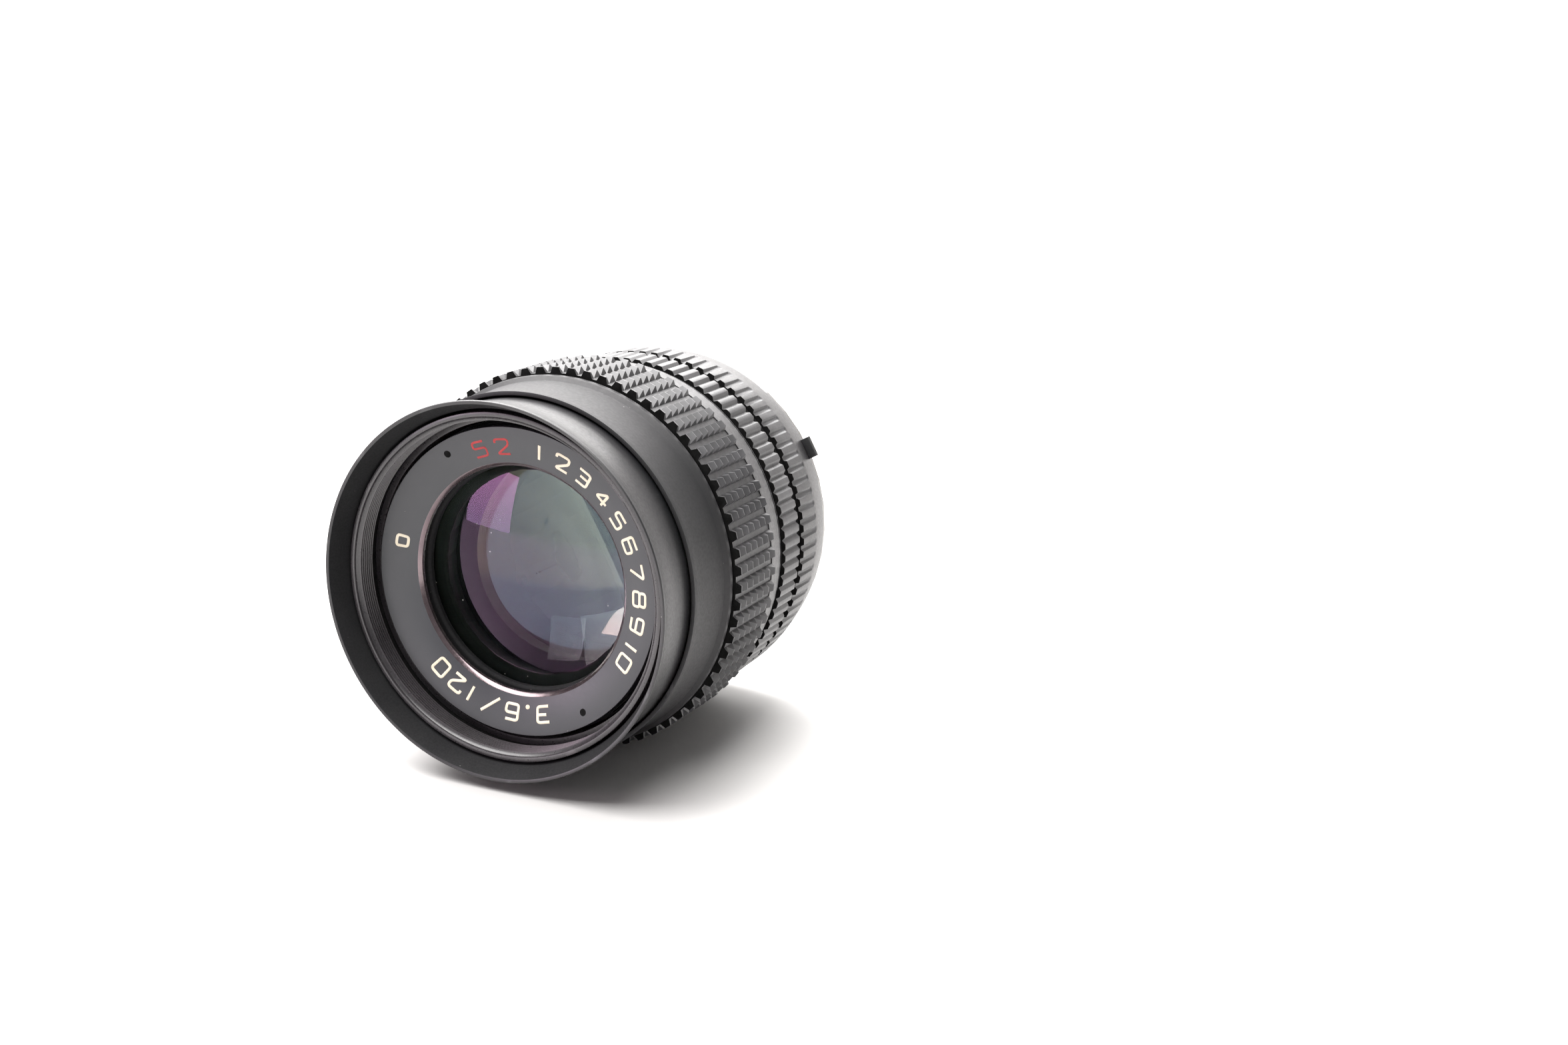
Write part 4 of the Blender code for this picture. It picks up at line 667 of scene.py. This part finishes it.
def makeFixedBarrel():
    barrel = fixedBarrel
    floor = barrel["land"] - barrel["groove"]
    outline = [(barrel["bore"], barrel["front"], 0.15), (barrel["land"], barrel["front"], 0.15)]
    for turn in range(barrel["threads"]):
        start = barrel["firstThread"] + turn * barrel["pitch"]
        end = start + barrel["pitch"] / 2
        outline += [(barrel["land"], start, 0.05), (floor, start + 0.2), (floor, end),
                    (barrel["land"], end + 0.2, 0.05)]
    outline += [(barrel["land"], barrel["slotFront"]), (barrel["land"], barrel["slotBack"]),
                (barrel["land"], barrel["back"]), (barrel["bore"], barrel["back"]),
                (barrel["bore"], barrel["slotBack"]), (barrel["bore"], barrel["slotFront"])]
    shape = turnOutline(outline, 360)
    slot = []
    for face in shape.faces:  # the screw that drives the iris moves along this slot
        place = face.calc_center_median()
        angle = math.degrees(math.atan2(place.z - axisZ, place.x)) % 360
        along = barrel["slotFront"] < depthOf(place) < barrel["slotBack"]
        if along and barrel["slotFrom"] < angle < barrel["slotTo"]:
            slot.append(face)
    bmesh.ops.delete(shape, geom=slot, context="FACES")
    bmesh.ops.bridge_loops(shape, edges=[edge for edge in shape.edges if edge.is_boundary])
    bmesh.ops.recalc_face_normals(shape, faces=shape.faces)
    finishPiece("fixedBarrel", shape, ["brassTube"], "root", ["fixed_barrel"])


ribRing = {"ribs": 92, "top": 29.5, "drop": 0.52, "topHalf": 0.46, "footHalf": 0.95,
           "front": 38.3, "back": 44.0, "bore": 26.95, "rounding": 0.05, "shadeWithin": 28.6}


def makeRibRing():
    ring = ribRing
    pitch = math.tau * ring["top"] / ring["ribs"]
    columns = [-pitch / 2, -ring["footHalf"], -ring["topHalf"], ring["topHalf"], ring["footHalf"], pitch / 2]
    shape = cellGrid(columns, [ring["front"], ring["back"]])
    for corner in shape.verts:
        if abs(corner.co.x) > (ring["topHalf"] + 0.1) * mm:
            corner.co.z = -ring["drop"] * mm
    wrapCells(shape, ring["top"], ring["ribs"])
    closeSleeve(shape, [(ring["bore"], None)], [(ring["bore"], None)])
    softenEdges(shape, ring["rounding"])
    paintEndShade(shape, ring["shadeWithin"])
    finishPiece("ribRing", shape, ["ribBlack", "feltAndShadeBlack"], "root", ["fixed_rib_ring"],
                sharp=28)


apertureRing = {"ribs": 84, "front": 45.9, "back": 56.72, "top": 29.4, "rear": 28.19, "bore": 26.95,
                "hub": 28.5, "hubFront": 44.3, "slotHalf": 0.6, "slotEnd": 51.4,
                "slotDrop": 0.62, "slotSlope": 0.36, "slotRounding": 0.5, "slotRise": 4.5,
                "coneStart": 50.5, "coneCurve": 1.35, "coneRows": (52.3, 53.6, 54.8, 55.8),
                "rounding": 0.045, "shadeWithin": 28.7}


def apertureRadius(depth):
    ring = apertureRing
    share = max(0.0, (depth - ring["coneStart"]) / (ring["back"] - ring["coneStart"]))
    fall = (ring["top"] - ring["rear"] - 0.13) * share ** ring["coneCurve"]
    return ring["top"] - 0.06 * (depth - ring["front"]) / 5 - fall  # the ring tapers a little before its cone


def makeApertureRing():
    ring = apertureRing
    pitch = math.tau * ring["top"] / ring["ribs"]
    shape = cellGrid([-pitch / 2, -ring["slotHalf"], ring["slotHalf"], pitch / 2],
                     [ring["front"] - 1.5, ring["slotEnd"], ring["back"]])
    ends = [corner for corner in shape.verts if abs(abs(corner.co.x) - ring["slotHalf"] * mm) < 1e-6
            and abs(corner.co.y - ring["slotEnd"] * mm) < 1e-6]
    bmesh.ops.bevel(shape, geom=ends, offset=ring["slotRounding"] * mm, offset_type="OFFSET", segments=3,
                    profile=0.5, affect="VERTICES", material=-1)
    slot = [face for face in shape.faces if abs(face.calc_center_median().x) < 0.05 * mm
            and face.calc_center_median().y < ring["slotEnd"] * mm]
    bmesh.ops.inset_individual(shape, faces=slot, thickness=ring["slotSlope"] * mm, depth=0.0)
    for face in slot:
        for corner in face.verts:
            share = min(1.0, max(0.25, (ring["slotEnd"] * mm - corner.co.y) / (ring["slotRise"] * mm)))
            corner.co.z = -ring["slotDrop"] * share * mm
    everything = shape.verts[:] + shape.edges[:] + shape.faces[:]
    bmesh.ops.bisect_plane(shape, geom=everything, plane_co=(0, ring["front"] * mm, 0), plane_no=(0, -1, 0),
                           clear_outer=True)
    for depth in ring["coneRows"]:
        bmesh.ops.bisect_plane(shape, geom=shape.verts[:] + shape.edges[:] + shape.faces[:],
                               plane_co=(0, depth * mm, 0), plane_no=(0, 1, 0))
    wrapCells(shape, ring["top"], ring["ribs"], apertureRadius)
    closeSleeve(shape, [(ring["hub"], None), (ring["hub"], ring["hubFront"]), (ring["bore"], ring["hubFront"])],
                [(ring["bore"], None)])
    softenEdges(shape, ring["rounding"], 35)
    paintEndShade(shape, ring["shadeWithin"], ring["front"] + 0.1)
    finishPiece("apertureRing", shape, ["ribBlack", "feltAndShadeBlack"], "aperture_ring_body", ["aperture_ring"],
                sharp=28)


prong = {"angle": 29.8, "width": 3.5, "inner": 27.4, "outer": 29.82, "front": 55.66, "back": 56.7,
         "rounding": 0.12}


def makeProng():
    shape = bmesh.new()
    bmesh.ops.create_cube(shape, size=1)
    bmesh.ops.scale(shape, vec=((prong["outer"] - prong["inner"]) * mm, (prong["back"] - prong["front"]) * mm,
                                prong["width"] * mm), verts=shape.verts)
    bmesh.ops.bevel(shape, geom=shape.edges[:], offset=prong["rounding"] * mm, offset_type="OFFSET", segments=2,
                    profile=0.5, affect="EDGES", material=-1)
    bmesh.ops.rotate(shape, verts=shape.verts, cent=(0, 0, 0),
                     matrix=Quaternion((0, -1, 0), math.radians(prong["angle"])).to_matrix())
    middle = (prong["outer"] + prong["inner"]) / 2
    bmesh.ops.translate(shape, verts=shape.verts,
                        vec=aroundAxis(middle, (prong["front"] + prong["back"]) / 2, prong["angle"]))
    finishPiece("couplingProng", shape, ["plasticBlack"], "aperture_ring_body", ["coupling_prong"])


makeFixedBarrel()
makeRibRing()
makeApertureRing()
makeProng()
print("rear rings made")


# CAD nodes that keep their shape get their finish

nodeFinishes = {
    "mountChrome": ["mount_flange"],
    "plasticBlack": ["rear_baffle"],
    "brassTube": ["focus_sleeve", "thrust_ring"],
    "screwSteel": [*(f"mount_screw_{number}" for number in range(1, 6)),
                   *(f"rib_ring_screw_{number}" for number in range(1, 4)),
                   *(f"sleeve_screw_{number}" for number in range(1, 4)),
                   "guide_screw_1", "guide_screw_2", "aperture_drive_screw", "click_ball", "click_spring"],
    "bladeSteel": ["iris_lever_ring", "iris_drive_ring", *(f"iris_blade_{number}" for number in range(1, 7))],
    "matteBlack": ["front_cell", "inner_barrel", "rear_cell", "glass_spacer", "inner_retaining_ring",
                   "iris_housing", "iris_cover", "rear_retaining_ring"],
    "feltAndShadeBlack": ["hood_friction_ring"],
}
for look, nodes in nodeFinishes.items():
    for node in nodes:
        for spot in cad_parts[node].material_slots:
            spot.material = finishes[look]
print("kept pieces finished")


# Floor, light and camera

studio = {"floorReach": 1.6, "backdropPlace": 1.1, "backdropHeight": 1.4, "curve": 0.5, "worldLight": 0.3,
          "paper": (0.5, 0.495, 0.49, 1), "paperRoughness": 0.8, "air": (1.0, 0.99, 0.985, 1)}


def makeStudio():
    floor = bpy.data.materials.new("paperFloor")
    floor.use_nodes = True
    shader = floor.node_tree.nodes["Principled BSDF"]
    shader.inputs["Base Color"].default_value = studio["paper"]
    shader.inputs["Roughness"].default_value = studio["paperRoughness"]
    shape = bmesh.new()
    reach = studio["floorReach"]
    line = [shape.verts.new((-reach, y, z)) for y, z in
            ((-reach, 0), (studio["backdropPlace"], 0), (studio["backdropPlace"], studio["backdropHeight"]))]
    for pair in zip(line, line[1:]):
        shape.edges.new(pair)
    bmesh.ops.bevel(shape, geom=[line[1]], offset=studio["curve"], offset_type="OFFSET", segments=16,
                    profile=0.5, affect="VERTICES", material=-1)
    swept = bmesh.ops.extrude_edge_only(shape, edges=shape.edges[:])["geom"]
    bmesh.ops.translate(shape, verts=[item for item in swept if isinstance(item, bmesh.types.BMVert)],
                        vec=(2 * reach, 0, 0))
    bmesh.ops.recalc_face_normals(shape, faces=shape.faces)
    if sum(face.normal.z for face in shape.faces) < 0:
        bmesh.ops.reverse_faces(shape, faces=shape.faces)
    mesh = bpy.data.meshes.new("paper")
    shape.to_mesh(mesh)
    shape.free()
    mesh.shade_smooth()
    mesh.materials.append(floor)
    paper = bpy.data.objects.new("paper", mesh)
    bpy.context.scene.collection.objects.link(paper)
    world = bpy.data.worlds.new("room")
    world.use_nodes = True
    around = world.node_tree.nodes["Background"]
    around.inputs["Color"].default_value = studio["air"]
    around.inputs["Strength"].default_value = studio["worldLight"]
    bpy.context.scene.world = world


lamps = {
    "overheadSoftbox": {"place": (-0.2, -0.05, 0.8), "aim": (0, 0, 0.03), "size": (1.1, 1.1), "power": 34.0,
                        "near": (1.0, 0.985, 0.975), "far": (1.0, 0.985, 0.975)},
    "backPanel": {"place": (-0.35, 0.6, 0.5), "aim": (0, 0, 0.03), "size": (0.9, 0.5), "power": 7.0,
                  "near": (1.0, 0.99, 0.98), "far": (1.0, 0.99, 0.98)},
    "leftWindow": {"place": (-0.5, -0.52, 0.09), "aim": (0, -0.03, 0.03), "size": (0.24, 0.26), "power": 2.4,
                   "near": (0.42, 0.44, 0.52), "far": (1.0, 0.72, 0.86)},
    "backdropLamp": {"place": (-0.5, 0.4, 1.1), "aim": (-0.5, 1.2, 0.2), "size": (1.0, 0.4), "power": 30.0,
                     "near": (1.0, 0.98, 0.97), "far": (1.0, 0.98, 0.97)},
}


def makeLamps():
    for name, lamp in lamps.items():
        light = bpy.data.lights.new(name, "AREA")
        light.shape = "RECTANGLE"
        light.size, light.size_y = lamp["size"]
        light.energy = lamp["power"]
        light.use_nodes = True
        tree = light.node_tree
        glow = tree.nodes["Emission"]
        spot = tree.nodes.new("ShaderNodeSeparateXYZ")
        tree.links.new(tree.nodes.new("ShaderNodeNewGeometry").outputs["Parametric"], spot.inputs["Vector"])
        height = spread(tree, spot.outputs["Y"], 0, 1, 0, 1)
        tree.links.new(blendColours(tree, height, lamp["near"], lamp["far"]), glow.inputs["Color"])
        holder = bpy.data.objects.new(name, light)
        holder.location = lamp["place"]
        facing = Vector(lamp["aim"]) - Vector(lamp["place"])
        holder.rotation_euler = facing.to_track_quat("-Z", "Y").to_euler()
        bpy.context.scene.collection.objects.link(holder)


view = {"azimuth": 31.59, "elevation": 16.55, "distance": 0.32216, "turnRight": 7.567, "tiltUp": 1.81,
        "lens": 48.98, "sensor": 36.0}


def makeCamera():
    azimuth, elevation = math.radians(view["azimuth"]), math.radians(view["elevation"])
    back = Vector((math.sin(azimuth) * math.cos(elevation), -math.cos(azimuth) * math.cos(elevation),
                   math.sin(elevation)))
    data = bpy.data.cameras.new("camera")
    data.lens = view["lens"]
    data.sensor_width = view["sensor"]
    data.clip_start = 0.01
    camera = bpy.data.objects.new("camera", data)
    camera.rotation_mode = "QUATERNION"
    camera.location = axisPoint + back * view["distance"]
    aside = Quaternion((0, 1, 0), -math.radians(view["turnRight"]))
    upward = Quaternion((1, 0, 0), math.radians(view["tiltUp"]))
    camera.rotation_quaternion = (-back).to_track_quat("-Z", "Y") @ aside @ upward
    bpy.context.scene.collection.objects.link(camera)
    bpy.context.scene.camera = camera


makeStudio()
makeLamps()
makeCamera()
bpy.context.scene.view_settings.view_transform = "Standard"
print("studio made")

bpy.context.view_layer.update()
